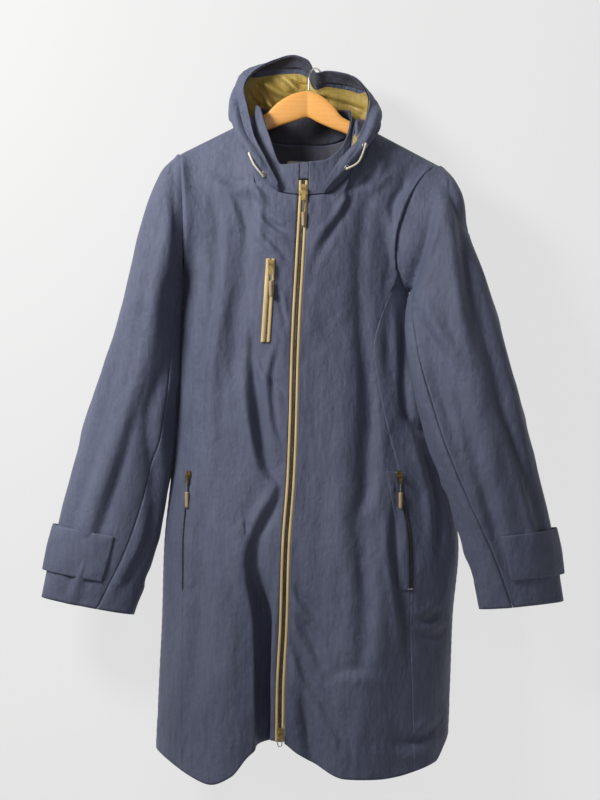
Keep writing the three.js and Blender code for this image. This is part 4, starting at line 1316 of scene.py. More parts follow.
@dataclass
class Body:
    """Fronts, side panels and back, with their seams and topstitching."""

    form: CoatForm
    workshop: Workshop
    stitches: Stitching
    thick: float = 1.2
    edge: float = 0.0002
    lap: float = 0.0012
    across_count: int = 84
    hem_deep: float = 45.0
    arm_fill: float = 1.6
    upper_rows: int = 62
    lower_rows: int = 186
    first_row: float = 2e-5
    side_from: float = 0.86
    zip_stitch: float = 3.0
    shoulder_stitch: float = 6.0
    armhole_foot: float = -345.0

    @property
    def rows(self) -> Array:
        """Rows down the body, finer at the shoulder."""
        share = np.linspace(0, 1, self.upper_rows)
        upper = self.first_row + (1 - self.first_row) * share**1.35
        return np.concatenate([upper, np.linspace(1, 2, self.lower_rows)[1:]])

    def relief(self, lattice: Lattice, folds: Folds, armhole_first: bool | None) -> Lattice:
        """Folds, seams and hem of one panel.

        Args:
            lattice: The smooth panel.
            folds: Its folds.
            armhole_first: True for a front, False for a side panel, None for the back.

        Returns:
            The panel with its relief.
        """
        first, last, top, foot = lattice.from_edges()
        x, z = lattice.points[..., 0], lattice.points[..., 2]
        fade = smooth(10, 66, top)
        if armhole_first is None:
            fade = fade * smooth(0, 34, first) * smooth(0, 34, last)
        else:
            high = smooth(-430, self.armhole_foot, z)
            if armhole_first:
                fade = fade * mix(1, smooth(0, 20, first), high) * smooth(1, 12, last)
            else:
                fade = (1 - high) * smooth(0, 34, first)
        offset = folds.offset(x, z) * fade
        offset = offset + groove(first, 0.1) + pucker(first - 5, z, 0.2)
        arm = smooth(self.armhole_foot, -325, z) * smooth(0, 20, top)
        outer = np.minimum(first, last) if armhole_first is None else first
        offset = offset + arm * self.arm_fill * np.exp(-((outer / 15) ** 2))
        offset = offset + 0.5 * (1 - smooth(self.hem_deep - 1, self.hem_deep + 1, foot))
        offset = offset + pucker(foot - self.hem_deep, x, 0.4)
        return lattice.lifted(offset)

    def front(self, side: Side) -> None:
        """Builds one front, from its side seam to the zip."""
        rows = self.rows
        k = np.linspace(0, 1, self.across_count)[:, None]
        down = rows[None]
        outer = self.form.side_seam(down, side) + side.value * self.lap
        inner = self.form.zip_share(down, side)
        points = self.form.torso_at(mix(outer, inner, k), down, Face.FRONT)
        smooth_panel = Lattice(points, side.value).eased(rows, 1.0, 0.07)
        panel = self.relief(smooth_panel, FRONT_FOLDS, True)
        self.workshop.panel(f"front_{side.word}", panel, self.thick, Finish.SHELL)
        self.stitches.run(*panel.row_beside(True, self.hem_deep))
        self.stitches.run(*panel.column_beside(True, self.zip_stitch), keep=(0.02, 1.0))
        self.stitches.run(*panel.row_beside(False, self.shoulder_stitch), keep=(0.02, 0.45))

    def side(self, side: Side) -> None:
        """Builds one side panel, between the front and the back."""
        rows = self.rows[self.rows > self.side_from]
        k = np.linspace(0, 1, 40)[:, None]
        down = rows[None]
        inner = self.form.side_seam(down, side) - side.value * self.lap
        across = mix(side.value * (1 - self.edge), inner, k)
        points = self.form.torso_at(across, down, Face.FRONT)
        panel = Lattice(points, side.value).eased(rows, 1.0, 0.07)
        panel = self.relief(panel, FRONT_FOLDS, False)
        self.workshop.panel(f"front_side_{side.word}", panel, self.thick, Finish.SHELL)
        self.stitches.run(*panel.row_beside(True, self.hem_deep))

    def back(self) -> None:
        """Builds the back in one width."""
        rows = self.rows
        edge = 1 - self.edge
        points = self.form.torso_at(np.linspace(-edge, edge, 130)[:, None], rows[None], Face.BACK)
        panel = Lattice(points, 1).eased(rows, 1.0, 0.07)
        panel = self.relief(panel, BACK_FOLDS, None)
        self.workshop.panel("back_panel", panel, self.thick, Finish.SHELL)
        self.stitches.run(*panel.row_beside(True, self.hem_deep))

    def build(self) -> None:
        """Builds every panel of the body."""
        for side in Side:
            self.front(side)
            self.side(side)
        self.back()


# ---------------------------------------------------------------------------- sleeves
LEFT_SLEEVE_FOLDS = Folds(
    (
        step_fold(-3.0, 15, (-222, -170), (-246, -250), (-262, -350), (-280, -460)),
        round_fold(2.4, 20, (-232, -240), (-246, -360), (-262, -480), (-290, -600)),
        step_fold(2.8, 11, (-216, -440), (-240, -510), (-242, -563), (-236, -620), (-246, -700)),
        step_fold(-3.0, 12, (-262, -470), (-290, -580), (-330, -700), (-352, -790)),
        step_fold(2.6, 13, (-300, -520), (-332, -620), (-366, -720)),
        step_fold(-2.4, 9, (-240, -640), (-262, -720), (-300, -790)),
        round_fold(-2.2, 12, (-212, -300), (-220, -360), (-222, -430)),
        step_fold(-2.0, 10, (-214, -180), (-212, -260), (-216, -330)),
        step_fold(1.8, 9, (-330, -700), (-352, -750), (-372, -800)),
        step_fold(-2.2, 10, (-282, -380), (-310, -470), (-336, -560)),
    ),
    ripple=0.6,
    depth=2.3,
)
RIGHT_SLEEVE_FOLDS = Folds(
    (
        step_fold(4.4, 11, (178, -214), (170, -254), (152, -320), (142, -372)),
        step_fold(-3.4, 13, (196, -190), (206, -260), (214, -350), (226, -440)),
        step_fold(3.2, 12, (152, -362), (166, -398), (187, -428), (204, -462)),
        step_fold(-3.2, 13, (150, -400), (168, -480), (196, -560), (226, -640)),
        step_fold(3.0, 14, (228, -260), (248, -380), (276, -500), (304, -620)),
        round_fold(2.6, 20, (206, -330), (226, -450), (252, -580), (284, -700)),
        step_fold(-2.8, 12, (196, -490), (226, -600), (256, -700), (284, -790)),
        step_fold(2.4, 10, (176, -560), (206, -640), (234, -716), (250, -790)),
        step_fold(-2.2, 10, (268, -520), (300, -620), (330, -720)),
        step_fold(2.0, 9, (186, -168), (206, -200), (222, -240)),
    ),
    ripple=0.6,
    depth=2.3,
)


@dataclass
class Sleeve:
    """One two-piece sleeve with its cuff tab."""

    form: CoatForm
    workshop: Workshop
    stitches: Stitching
    side: Side
    thick: float = 1.2
    hem_deep: float = 45.0
    tab_from: float = -38.0
    tab_to: float = 100.0
    tab_top: float = 0.84
    tab_foot: float = 0.937
    tab_proud: float = 2.3
    touch: float = 7.0
    arm_fill: float = 1.6
    rows: int = 176
    drop: float = 22.0

    @property
    def middle(self) -> float:
        """Middle of the sleeve in X, about which its folds are swapped for the hidden side."""
        return -300.0 if self.side is Side.LEFT else 244.0

    @property
    def folds(self) -> Folds:
        """Folds seen from the front."""
        return LEFT_SLEEVE_FOLDS if self.side is Side.LEFT else RIGHT_SLEEVE_FOLDS

    def relief(self, lattice: Lattice, turn: Array) -> Lattice:
        """Folds, seams and hem of one half of the sleeve."""
        first, last, top, foot = lattice.from_edges()
        x, z = lattice.points[..., 0], lattice.points[..., 2]
        ahead = smooth(-0.3, 0.3, np.sin(np.radians(turn)))
        behind = self.folds.mirrored(self.middle, self.drop)
        offset = self.folds.offset(x, z) * ahead + behind.offset(x, z) * (1 - ahead)
        offset = offset * smooth(0, 26, top)
        inner = np.exp(-(((turn % 360 - 180) / 34) ** 2))
        touch = smooth(-290, -328, z) * (1 - smooth(-560, -640, z))
        offset = offset + self.touch * inner * touch
        offset = offset + self.arm_fill * np.exp(-((top / 15) ** 2))
        offset = offset + groove(first, 0.4) + groove(last, 0.4) + groove(top, 0.4, 2.0)
        offset = offset + pucker(first - 5, z) + pucker(last - 5, z) + pucker(top - 5, x, 0.3)
        offset = offset + 0.5 * (1 - smooth(self.hem_deep - 1, self.hem_deep + 1, foot))
        offset = offset + pucker(foot - self.hem_deep, x, 0.4)
        return lattice.lifted(offset)

    def half(self, upper: bool) -> None:
        """Builds the upper or the under half."""
        gap = 0.15
        down = np.linspace(0, 1, self.rows)[None] ** 1.1
        front = self.form.sleeve_seam.at("front", down)
        back = self.form.sleeve_seam.at("back", down)
        k = np.linspace(0, 1, 96 if upper else 36)[:, None]
        if upper:
            turn = mix(back - 360 + gap, front - gap, k)
        else:
            turn = mix(front + gap, back - gap, k)
        lattice = Lattice(self.form.sleeve_at(self.side, turn, down), self.side.value)
        panel = self.relief(lattice, turn)
        word = "upper" if upper else "under"
        self.workshop.panel(f"sleeve_{word}_{self.side.word}", panel, self.thick, Finish.SHELL)
        self.stitches.run(*panel.row_beside(True, self.hem_deep))
        if upper:
            self.stitches.run(*panel.column_beside(True, 4.0))

    def tab(self) -> None:
        """Builds the cuff tab, which loops out at the sleeve's outer edge."""
        turn = np.linspace(self.tab_from, self.tab_to, 90)[:, None]
        down = np.linspace(self.tab_top, self.tab_foot, 30)[None]
        points = self.form.sleeve_at(self.side, turn, down)
        base = Lattice(points, self.side.value)
        loop = 6 * np.exp(-(((turn + 4) / 16) ** 2))
        first, last, top, foot = base.from_edges()
        edge = np.minimum(np.minimum(first, last), np.minimum(top, foot))
        puff = 0.9 * smooth(0, 7, edge) - 0.5 * np.exp(-(((edge - 7) / 1.6) ** 2))
        base = base.lifted(self.tab_proud + loop + puff + 0.3 * np.sin(first / 9 + top / 7))
        self.workshop.panel(f"cuff_tab_{self.side.word}", base, 1.6, Finish.SHELL)
        for last_edge in (False, True):
            self.stitches.run(*base.row_beside(last_edge, 6.0), keep=(0.04, 0.97))
        for distance in (6.0, 38.0):
            self.stitches.run(*base.column_beside(True, distance), keep=(0.1, 0.9))

    def build(self) -> None:
        """Builds the sleeve and its tab."""
        self.half(True)
        self.half(False)
        self.tab()


# ---------------------------------------------------------------------------- collar and hood
@dataclass
class Collar:
    """Stand collar with its inner side, the zip guard, the back facing and the label."""

    form: CoatForm
    workshop: Workshop
    stitches: Stitching
    open: float = 0.062

    def band(self, name: str, lift: float, finish: Finish) -> None:
        """Builds one layer of the stand collar."""
        turn = np.linspace(self.open, 4 - self.open, 220)[:, None]
        rise = np.linspace(0, 1, 20)[None]
        base = Lattice(self.form.collar_at(turn, rise), -1)
        first, last, low, _ = base.from_edges()
        soft = 0.7 * np.sin(first / 19) * np.sin(np.pi * rise) + 0.4 * np.sin(first / 8.3 + 1)
        fade = smooth(0, 10, low) * smooth(0, 8, np.minimum(first, last))
        band = base.lifted(lift).lifted(soft * fade * 0.7)
        self.workshop.panel(name, band, 1.0, finish)
        if lift > 0:
            self.stitches.run(*band.row_beside(True, 5.0))
            self.stitches.run(*band.row_beside(False, 4.0))

    def guard(self) -> None:
        """Builds the zip guard at the front of the collar."""
        half = self.form.zip_opening / 2 - 0.9
        rise = np.linspace(0.5, 1, 16)[None]
        middle = mix(self.form.collar_at(0, rise), self.form.collar_at(4, rise), 0.5)
        points = middle + vec(np.linspace(-half, half, 12)[:, None], 0, 0)
        lattice = Lattice(points, -1)
        self.workshop.panel("zip_garage", lattice, 1.2, Finish.SHELL)

    def facing(self) -> None:
        """Builds the back neck facing and the bare label."""
        rows = np.linspace(0.012, 0.45, 40)[None]
        across = np.linspace(-0.262, 0.232, 70)[:, None]
        base = Lattice(self.form.torso_at(across, rows, Face.BACK), 1).lifted(-1.8)
        # Shell cloth painted darker as shade inside the neck.
        self.workshop.panel("back_neck_facing", base, 1.0, Finish.FACING)
        patch = self.form.torso_at(
            np.linspace(-0.055, 0.075, 14)[:, None], np.linspace(0.12, 0.25, 10)[None], Face.BACK
        )
        label = Lattice(patch, 1).lifted(-3.6)
        first, _, top, _ = label.from_edges()
        label = label.lifted(0.25 * np.sin(first / 6) * np.sin(top / 9))
        self.workshop.panel("neck_label", label, 0.6, Finish.LABEL, rests_on=("back_neck_facing",))

    def build(self) -> None:
        """Builds the collar's pieces."""
        self.band("collar_outer", 0.9, Finish.SHELL)
        # The inner layer takes the shell cloth painted darker as shade.
        self.band("collar_inner", -0.7, Finish.FACING)
        self.guard()
        self.facing()


HOOD_FOLDS = Folds(
    (
        step_fold(3.4, 9, (82, -89), (74, -112), (61, -141)),
        step_fold(-3.0, 9, (96, -72), (86, -98), (66, -128), (44, -152)),
        step_fold(2.6, 8, (94, -96), (78, -128), (48, -160)),
        step_fold(-3.0, 10, (-118, -20), (-116, -62), (-108, -104), (-88, -138)),
        step_fold(2.4, 9, (-126, -66), (-118, -104), (-100, -140), (-78, -168)),
        step_fold(2.0, 8, (-110, -4), (-112, -40), (-104, -86)),
        round_fold(1.6, 8, (88, -46), (90, -70), (84, -96)),
    ),
    ripple=0.6,
    depth=2.0,
)
LINING_FOLDS = Folds(
    (
        round_fold(4.2, 6, (-90, -12), (-66, -24), (-44, -34), (-22, -30)),
        step_fold(-5.5, 7, (-96, -26), (-84, -40), (-74, -54), (-62, -66)),
        round_fold(-5.0, 8, (-84, -44), (-74, -52), (-64, -60)),
        step_fold(4.6, 7, (-50, -10), (-36, -24), (-16, -33), (6, -36)),
        step_fold(-3.6, 7, (-62, 4), (-44, -6), (-26, -18), (-8, -22)),
        step_fold(3.0, 8, (-2, -34), (24, -40), (50, -48), (76, -60)),
        round_fold(3.0, 7, (8, -44), (34, -50), (64, -66)),
        step_fold(-3.0, 7, (-108, -34), (-100, -62), (-94, -96)),
        step_fold(3.2, 6, (70, -80), (52, -108), (34, -140)),
        step_fold(-2.6, 5, (58, -84), (42, -116), (26, -148)),
        round_fold(2.0, 5, (48, -72), (56, -66), (70, -78)),
    ),
    ripple=1.2,
    depth=2.6,
)


@dataclass
class Hood:
    """Hood of two sides and a crown, with its lining, its facing and its two drawcord loops."""

    form: CoatForm
    workshop: Workshop
    stitches: Stitching
    seams: tuple[float, float] = (1.45, 2.62)
    ends: tuple[float, float] = (0.29, 3.76)
    inner_ends: tuple[float, float] = (0.36, 3.68)
    facing_top: float = 0.62
    facing_sides: float = 0.96
    gap: float = 0.0006
    tuck: float = 17.0
    turned_in: tuple[float, float, float] = (0.0, 0.35, 0.7)
    hem_deep: float = 24.0

    def part(
        self, span: tuple[float, float], rises: tuple[float, float], columns: int, rows: int
    ) -> Lattice:
        """Smooth surface between two turns and two heights."""
        turn = np.linspace(span[0] + self.gap, span[1] - self.gap, columns)[:, None]
        return Lattice(self.form.hood_at(turn, np.linspace(*rises, rows)[None]), -1)

    def lined(self, end: float, gap: float, below: bool, columns: int, rows: int) -> Lattice:
        """Smooth inner surface on one side of the seam between lining and facing.

        Args:
            end: Height of its other edge.
            gap: How far from the seam it ends.
            below: Whether it lies below the seam, as the lining does.
            columns: Points round the hood.
            rows: Points up the hood.

        Returns:
            The surface.
        """
        first, last = self.inner_ends
        turn = np.linspace(first + self.gap, last - self.gap, columns)[:, None]
        top = smooth(1.2, 1.7, turn) * (1 - smooth(2.7, 3.05, turn))
        seam = mix(self.facing_sides, self.facing_top, top) + gap
        low, high = (end, seam) if below else (seam, end)
        rise = mix(low, high, np.linspace(0, 1, rows)[None])
        return Lattice(self.form.hood_at(turn, rise), -1)

    def outside(self, name: str, span: tuple[float, float], columns: int) -> None:
        """Builds one panel of the outer hood, turned in at its foot to meet the collar."""
        base = self.part(span, (0, 1), columns, 70)
        turn = np.linspace(span[0] + self.gap, span[1] - self.gap, columns)[:, None]
        shares = np.array(self.turned_in)[:, None]
        turned_in = mix(self.form.collar_at(turn, 0.0), base.points[:, :1], shares)
        base = Lattice(np.concatenate([turned_in, base.points], 1), -1)
        first, last, low, high = base.from_edges()
        x, z = base.points[..., 0], base.points[..., 2]
        fade = smooth(0, 12, low) * smooth(0, 8, high) * smooth(0, 14, np.minimum(first, last))
        offset = HOOD_FOLDS.offset(x, z) * fade + groove(first) + groove(last)
        from_hem = high - self.hem_deep
        offset = offset - 0.6 * np.exp(-((from_hem / 1.6) ** 2)) + pucker(from_hem, first)
        panel = base.lifted(np.maximum(offset, -0.8))
        self.workshop.panel(name, panel, 1.2, Finish.SHELL)
        for distance in (self.hem_deep, 3.0):
            self.stitches.run(*panel.row_beside(True, distance), keep=(0.02, 0.98))

    def inside(self) -> None:
        """Builds the olive lining and the facing along the rim."""
        base = self.lined(0.12, -0.03, True, 210, 64)
        first, last, low, high = base.from_edges()
        x, z = base.points[..., 0], base.points[..., 2]
        fade = smooth(0, 14, low) * smooth(0, 10, high) * smooth(0, 10, np.minimum(first, last))
        lining = base.lifted(-2.5).lifted(-np.abs(LINING_FOLDS.offset(x, z)) * fade)
        right = smooth(38, 58, x) * smooth(-178, -150, z) * (1 - smooth(-92, -66, z))
        lining.points[..., 0] -= self.tuck * right * smooth(0, 16, high)
        self.workshop.panel("hood_lining", lining, 0.8, Finish.LINING, rests_on=("hood_crown",))
        base = self.lined(1.0, 0.03, False, 200, 22)
        first, _, low, high = base.from_edges()
        facing = base.lifted(-2.4 - 0.4 * np.sin(first / 11) * smooth(0, 6, np.minimum(low, high)))
        # Shell cloth painted darker as shade inside the hood's rim.
        self.workshop.panel("hood_facing", facing, 1.0, Finish.FACING, rests_on=("hood_crown",))

    def on_hood(self, turn: float, rise: float, lift: float) -> Array:
        """Point that stands off the hood."""
        here = self.form.hood_at(turn, rise)
        along = self.form.hood_at(turn + 0.01, rise) - here
        up = self.form.hood_at(turn, rise + 0.01) - here
        return here - lift * unit(np.cross(along, up))

    def loop(self, side: Side) -> None:
        """Builds one drawcord loop with its two eyelets."""
        if side is Side.LEFT:
            ends, sag = ((0.6, 0.6), (0.45, 0.55)), vec(-2, -5, -2)
        else:
            ends, sag = ((3.44, 0.6), (3.6, 0.55)), vec(3, -6, -8)
        start, end = ([self.on_hood(*spot, lift) for lift in (1.4, 5.0)] for spot in ends)
        middle = mix(start[1], end[1], 0.5) + sag
        path = polyline([start[0], start[1], middle, end[1], end[0]], 48)
        name = f"drawcord_{side.word}"
        self.workshop.tube(f"{name}_braid", path, 1.5, Finish.DRAWCORD, (name,))
        for word, spot in zip(("high", "low"), ends, strict=True):
            self.eyelet(f"eyelet_{side.word}_{word}", *spot)

    def eyelet(self, name: str, turn: float, rise: float) -> None:
        """Builds one rolled metal eyelet."""
        centre = self.on_hood(turn, rise, 1.8)
        out = unit(self.on_hood(turn, rise, 1) - self.on_hood(turn, rise, 0))
        first = unit(np.cross(out, np.array([0.2, 0.3, 0.93])))
        second = np.cross(out, first)
        round_, ring = np.linspace(0, 2 * np.pi, 33)[:-1], np.linspace(0, 2 * np.pi, 11)[:-1]
        radial = first * np.cos(round_)[:, None] + second * np.sin(round_)[:, None]
        reach = 3.4 + 0.75 * np.cos(ring)
        points = centre + radial[:, None] * reach[None, :, None]
        points = points + out * (0.6 * np.sin(ring))[None, :, None]
        index = np.arange(320).reshape(32, 10)
        along, up = np.roll(index, -1, 0), np.roll(index, -1, 1)
        both = np.roll(along, -1, 1)
        faces = np.stack([index, along, both, up], -1).reshape(-1, 4)
        self.workshop.mesh(f"{name}_ring", points, faces, Finish.WIRE, (name,))

    def build(self) -> None:
        """Builds the hood."""
        first, last = self.seams
        self.outside("hood_side_left", (self.ends[0], first), 110)
        self.outside("hood_crown", (first, last), 96)
        self.outside("hood_side_right", (last, self.ends[1]), 110)
        self.inside()
        for side in Side:
            self.loop(side)


# ---------------------------------------------------------------------------- zips and pockets
@dataclass
class Trims:
    """Zips, pockets and pulls on the fronts."""

    form: CoatForm
    workshop: Workshop
    stitches: Stitching
    tape_half: float = 6.4
    chain_half: float = 2.5
    pitch: float = 2.5
    chest_from: tuple[float, float] = (-68, -292)
    chest_to: tuple[float, float] = (-76, -416)
    hip_top: float = -606.0
    hip_foot: float = -782.0
    welt: tuple[float, float] = (3.2, 19.0)
    proud: float = 1.7
    welt_stitch: float = 2.4

    def on_cloth(self, x: Array, z: Array, side: int) -> Lattice:
        """Surface of the finished front at a lattice of places x, z."""
        across, down = self.form.on_front(x, z)
        base = Lattice(self.form.torso_at(across, down, Face.FRONT), side)
        return base.lifted(FRONT_FOLDS.offset(x, z))

    def blocks(
        self,
        name: str,
        centres: Array,
        along: Array,
        up: Array,
        halves: tuple[float, float, float],
        finish: Finish,
        stands_for: Sequence[str] = (),
    ) -> None:
        """Makes a row of small tapered blocks, such as zip teeth.

        Args:
            name: Piece name.
            centres: Middles of the blocks.
            along: Directions of their rows.
            up: Directions out of the cloth.
            halves: Half sizes along, across and up.
            finish: Their finish.
            stands_for: CAD nodes that they replace.
        """
        across = np.cross(along, up)
        corners = []
        for rise, taper in ((-1, 1.0), (1, 0.7)):
            for i, j in ((-1, -1), (1, -1), (1, 1), (-1, 1)):
                spot = centres + along * (i * halves[0] * taper) + across * (j * halves[1])
                corners.append(spot + up * (rise * halves[2]))
        points = np.stack(corners, 1)
        one = [(3, 2, 1, 0), (4, 5, 6, 7), (0, 1, 5, 4), (1, 2, 6, 5), (2, 3, 7, 6), (3, 0, 4, 7)]
        faces = (np.array(one)[None] + 8 * np.arange(len(centres))[:, None, None]).reshape(-1, 4)
        self.workshop.mesh(name, points, faces, finish, stands_for, flat=True)

    def teeth(self, name: str, line: Array, out: Array, node: str, reach: float = 1.0) -> None:
        """Makes the interlocking teeth of a zip along a line."""
        gone = travelled(line)
        places = np.arange(1.2, gone[-1] - 1, self.pitch / 2)
        spots, up = sampled(line, gone, places), unit(sampled(out, gone, places))
        along = unit(np.gradient(spots, axis=0))
        across = np.cross(along, up)
        swing = np.where(np.arange(len(spots)) % 2, 0.62, -0.62)[:, None]
        halves = (0.5, 1.15 * reach, 0.5)
        centres = spots + across * swing + up * 0.75
        self.blocks(name, centres, along, up, halves, Finish.TEETH, (node,))

    def main_zip(self) -> None:
        """Builds the main zip's tapes, chain and stops."""
        spans = [np.linspace(-0.95, 0, 16), np.linspace(2e-5, 1, 90), np.linspace(1, 2, 240)[1:]]
        line = self.form.zip_line(np.concatenate(spans))
        inner, outer = self.chain_half + 0.35, self.tape_half
        for side in Side:
            ends = (-outer, -inner) if side is Side.LEFT else (inner, outer)
            u = np.linspace(*ends, 9)
            points = line[None] + vec(u[:, None], 0, 0)
            dome = np.sin(np.linspace(0, np.pi, 9))[:, None]
            ribs = 0.3 * np.sin(2 * np.pi * Lattice(points, -1).gone(1) / 1.9)
            tape = Lattice(points, -1).lifted(0.4 + 0.75 * dome + ribs * dome)
            name = f"zip_tape_{side.word}"
            self.workshop.shell(f"{name}_cloth", tape, 1.0, Finish.TAPE, name)
        u = np.linspace(-self.chain_half, self.chain_half, 5)[:, None]
        bed = Lattice(line[None] + vec(u, 0, 0), -1).lifted(-0.3)
        self.workshop.shell("zip_chain_bed", bed, 0.8, Finish.DARK_TAPE)
        out = bed.normals[2]
        self.teeth("zip_chain_teeth", line, out, "zip_chain")
        stops = line[[12, 12]] + vec(np.array([-4.6, 4.6]), -1.6, 0)
        along = np.tile([0.0, 0.0, -1.0], (2, 1))
        self.blocks("zip_top_stops", stops, along, out[[12, 12]], (3.2, 1.5, 1.3), Finish.BRASS)

    def chest_zip(self) -> None:
        """Builds the chest pocket's zip and the stitching round its opening."""
        v = np.linspace(0, 1, 60)[None]
        x_mid = mix(self.chest_from[0], self.chest_to[0], v)
        z = mix(self.chest_from[1], self.chest_to[1], v)
        u = np.linspace(-6.5, 6.5, 27)[:, None]
        tape = self.on_cloth(x_mid + u, z + 0 * u, -1)
        ridge = 0.9 * smooth(1.9, 2.8, np.abs(u)) * smooth(6.6, 5.2, np.abs(u))
        tape = tape.lifted(self.proud + ridge)
        node = "chest_zip_tape"
        self.workshop.shell(f"{node}_cloth", tape, 1.2, Finish.TAPE, node)
        middle = Lattice(tape.points[11:16], -1).lifted(0.95)
        self.workshop.shell("chest_zip_bed", middle, 0.6, Finish.DARK_TAPE)
        line = middle.points[2]
        self.teeth("chest_zip_teeth", line, middle.normals[2], "chest_zip_chain", 0.8)
        outline = [(-10.5, 6.0), (-10.0, -60.0), (-9.0, -124.0), (-6.0, -136.0), (0.0, -139.5)]
        outline += [(6.0, -136.0), (9.0, -124.0), (10.0, -60.0), (10.5, 6.0)]
        x_top, z_top = self.chest_from
        seam = polyline([(x_top + a + b * 0.0645, z_top + b) for a, b in outline], 150)
        beside = np.array([[-1.0], [0.0], [1.0]])
        cloth = self.on_cloth(seam[None, :, 0] + beside, seam[None, :, 1], -1)
        self.stitches.run(cloth.points[1], cloth.normals[1])

    def hip_pocket(self, side: Side) -> None:
        """Builds one hip pocket: the welt, and the zip in its shadow."""
        v = np.linspace(0, 1, 80)[None]
        z = mix(self.hip_top, self.hip_foot, v)
        seam = self.form.seam_x(z, side)
        near, far = self.welt
        u = np.linspace(near, far, 24)[:, None]
        welt = self.on_cloth(seam - side.value * u, z + 0 * u, side.value)
        first, last, top, foot = welt.from_edges()
        edge = np.minimum(np.minimum(first, last), np.minimum(top, foot))
        if side is Side.LEFT:
            welt = welt.lifted(-0.7 + 1.1 * smooth(0, 7, edge))
        else:
            welt = welt.lifted(self.proud - 0.5 + 0.7 * smooth(0, 4, edge))
        name = f"hip_welt_{side.word}"
        self.workshop.panel(name, welt, 1.4, Finish.SHELL, rests_on=(f"front_{side.word}",))
        if side is Side.RIGHT:
            self.stitches.run(*welt.column_beside(True, self.welt_stitch))
            for last in (True, False):
                self.stitches.run(*welt.row_beside(last, self.welt_stitch))
        half = 0.5 if side is Side.LEFT else 2.6
        u = np.linspace(-half, half, 9)[:, None]
        slit = self.on_cloth(seam - side.value * u, z + 0 * u, side.value).lifted(self.proud - 0.9)
        self.workshop.shell(f"hip_zip_{side.word}_bed", slit, 0.8, Finish.DARK_TAPE)
        teeth = slit.lifted(0.3)
        node = f"hip_zip_{side.word}"
        self.teeth(f"{node}_teeth", teeth.points[4], teeth.normals[4], node, 0.8)
        for word, row in (("high", 1), ("low", -2)) if side is Side.RIGHT else ():
            spot = welt.points[:, row]
            self.bartack(f"hip_bartack_{side.word}_{word}", spot[0], spot[6], side)

    def bartack(self, name: str, start: Array, end: Array, side: Side) -> None:
        """Builds a dense bar of thread across the end of an opening."""
        way = unit(end - start)
        places = np.linspace(-3.5, 3.5, 12)[:, None]
        middle = start - way * 1.5 + places * way
        along = np.tile(np.array([0.0, 0.0, 1.0]), (12, 1))
        up = unit(np.tile(np.array([side.value * 0.35, -1.0, 0.0]), (12, 1)))
        self.blocks(name, middle + up * 1.1, along, up, (0.9, 0.26, 0.3), Finish.PALE_THREAD)

    def pull(self, name: str, body: str, tipped: bool = True) -> None:
        """Dresses one slider and its pull: cast metal, a braided cord and a moulded tip."""
        for part in ("slider", "tab"):
            node = bpy.data.objects[f"{name}_{part}"]
            node.data.materials.clear()
            node.data.materials.append(self.workshop.wardrobe.material(Finish.BRASS))
            bevel = node.modifiers.new("worn_edges", "BEVEL")
            bevel.width, bevel.segments, bevel.limit_method = 0.3 * MM, 2, "ANGLE"
        if not tipped:
            return
        for part, finish, widest in (("cord", Finish.CORD, 1.15), ("tip", Finish.TIP, 3.1)):
            low, high = (np.array(corner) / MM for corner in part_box(f"{name}_{part}"))
            middle = (low + high) / 2
            v = np.linspace(0, 1, 40)
            path = vec(middle[0] + 0 * v, middle[1] + 0 * v, mix(high[2], low[2], v))
            if part == "tip":
                ends = np.minimum(v, 1 - v) * (high[2] - low[2])
                rounded = np.sqrt(1 - (1 - np.clip(ends / 2.2, 0, 1)) ** 2 * 0.8)
                radius = widest * (0.84 + 0.16 * (1 - v)) * rounded
                radius = radius - 0.22 * np.exp(-(((v - 0.16) / 0.03) ** 2))
            else:
                radius = widest + 0.12 * np.sin(2 * np.pi * v * (high[2] - low[2]) / 2.1)
            node = f"{name}_{part}"
            self.workshop.tube(f"{node}_round", path, radius, finish, (node,), body, 16)

    def ring(self) -> None:
        """Builds the small ring that hangs from the hem slider's tab."""
        low, high = (np.array(corner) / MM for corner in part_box("hem_zip_tab"))
        centre = np.array([(low[0] + high[0]) / 2, (low[1] + high[1]) / 2, low[2] - 2.6])
        turn = np.linspace(0, 2 * np.pi, 40)
        path = centre + vec(3.2 * np.sin(turn), 0.2 * np.cos(turn), 4.4 * np.cos(turn))
        self.workshop.tube("hem_zip_ring", path, 0.8, Finish.WIRE, body="hem_zip_pull", sides=10)

    def build(self) -> None:
        """Builds all the trims."""
        self.main_zip()
        self.chest_zip()
        for side in Side:
            self.hip_pocket(side)
            self.pull(f"hip_zip_pull_{side.word}", f"hip_zip_pull_{side.word}")
        self.pull("main_zip", "main_zip_pull")
        self.pull("chest_zip", "chest_zip_pull")
        self.pull("hem_zip", "hem_zip_pull", tipped=False)
        self.ring()


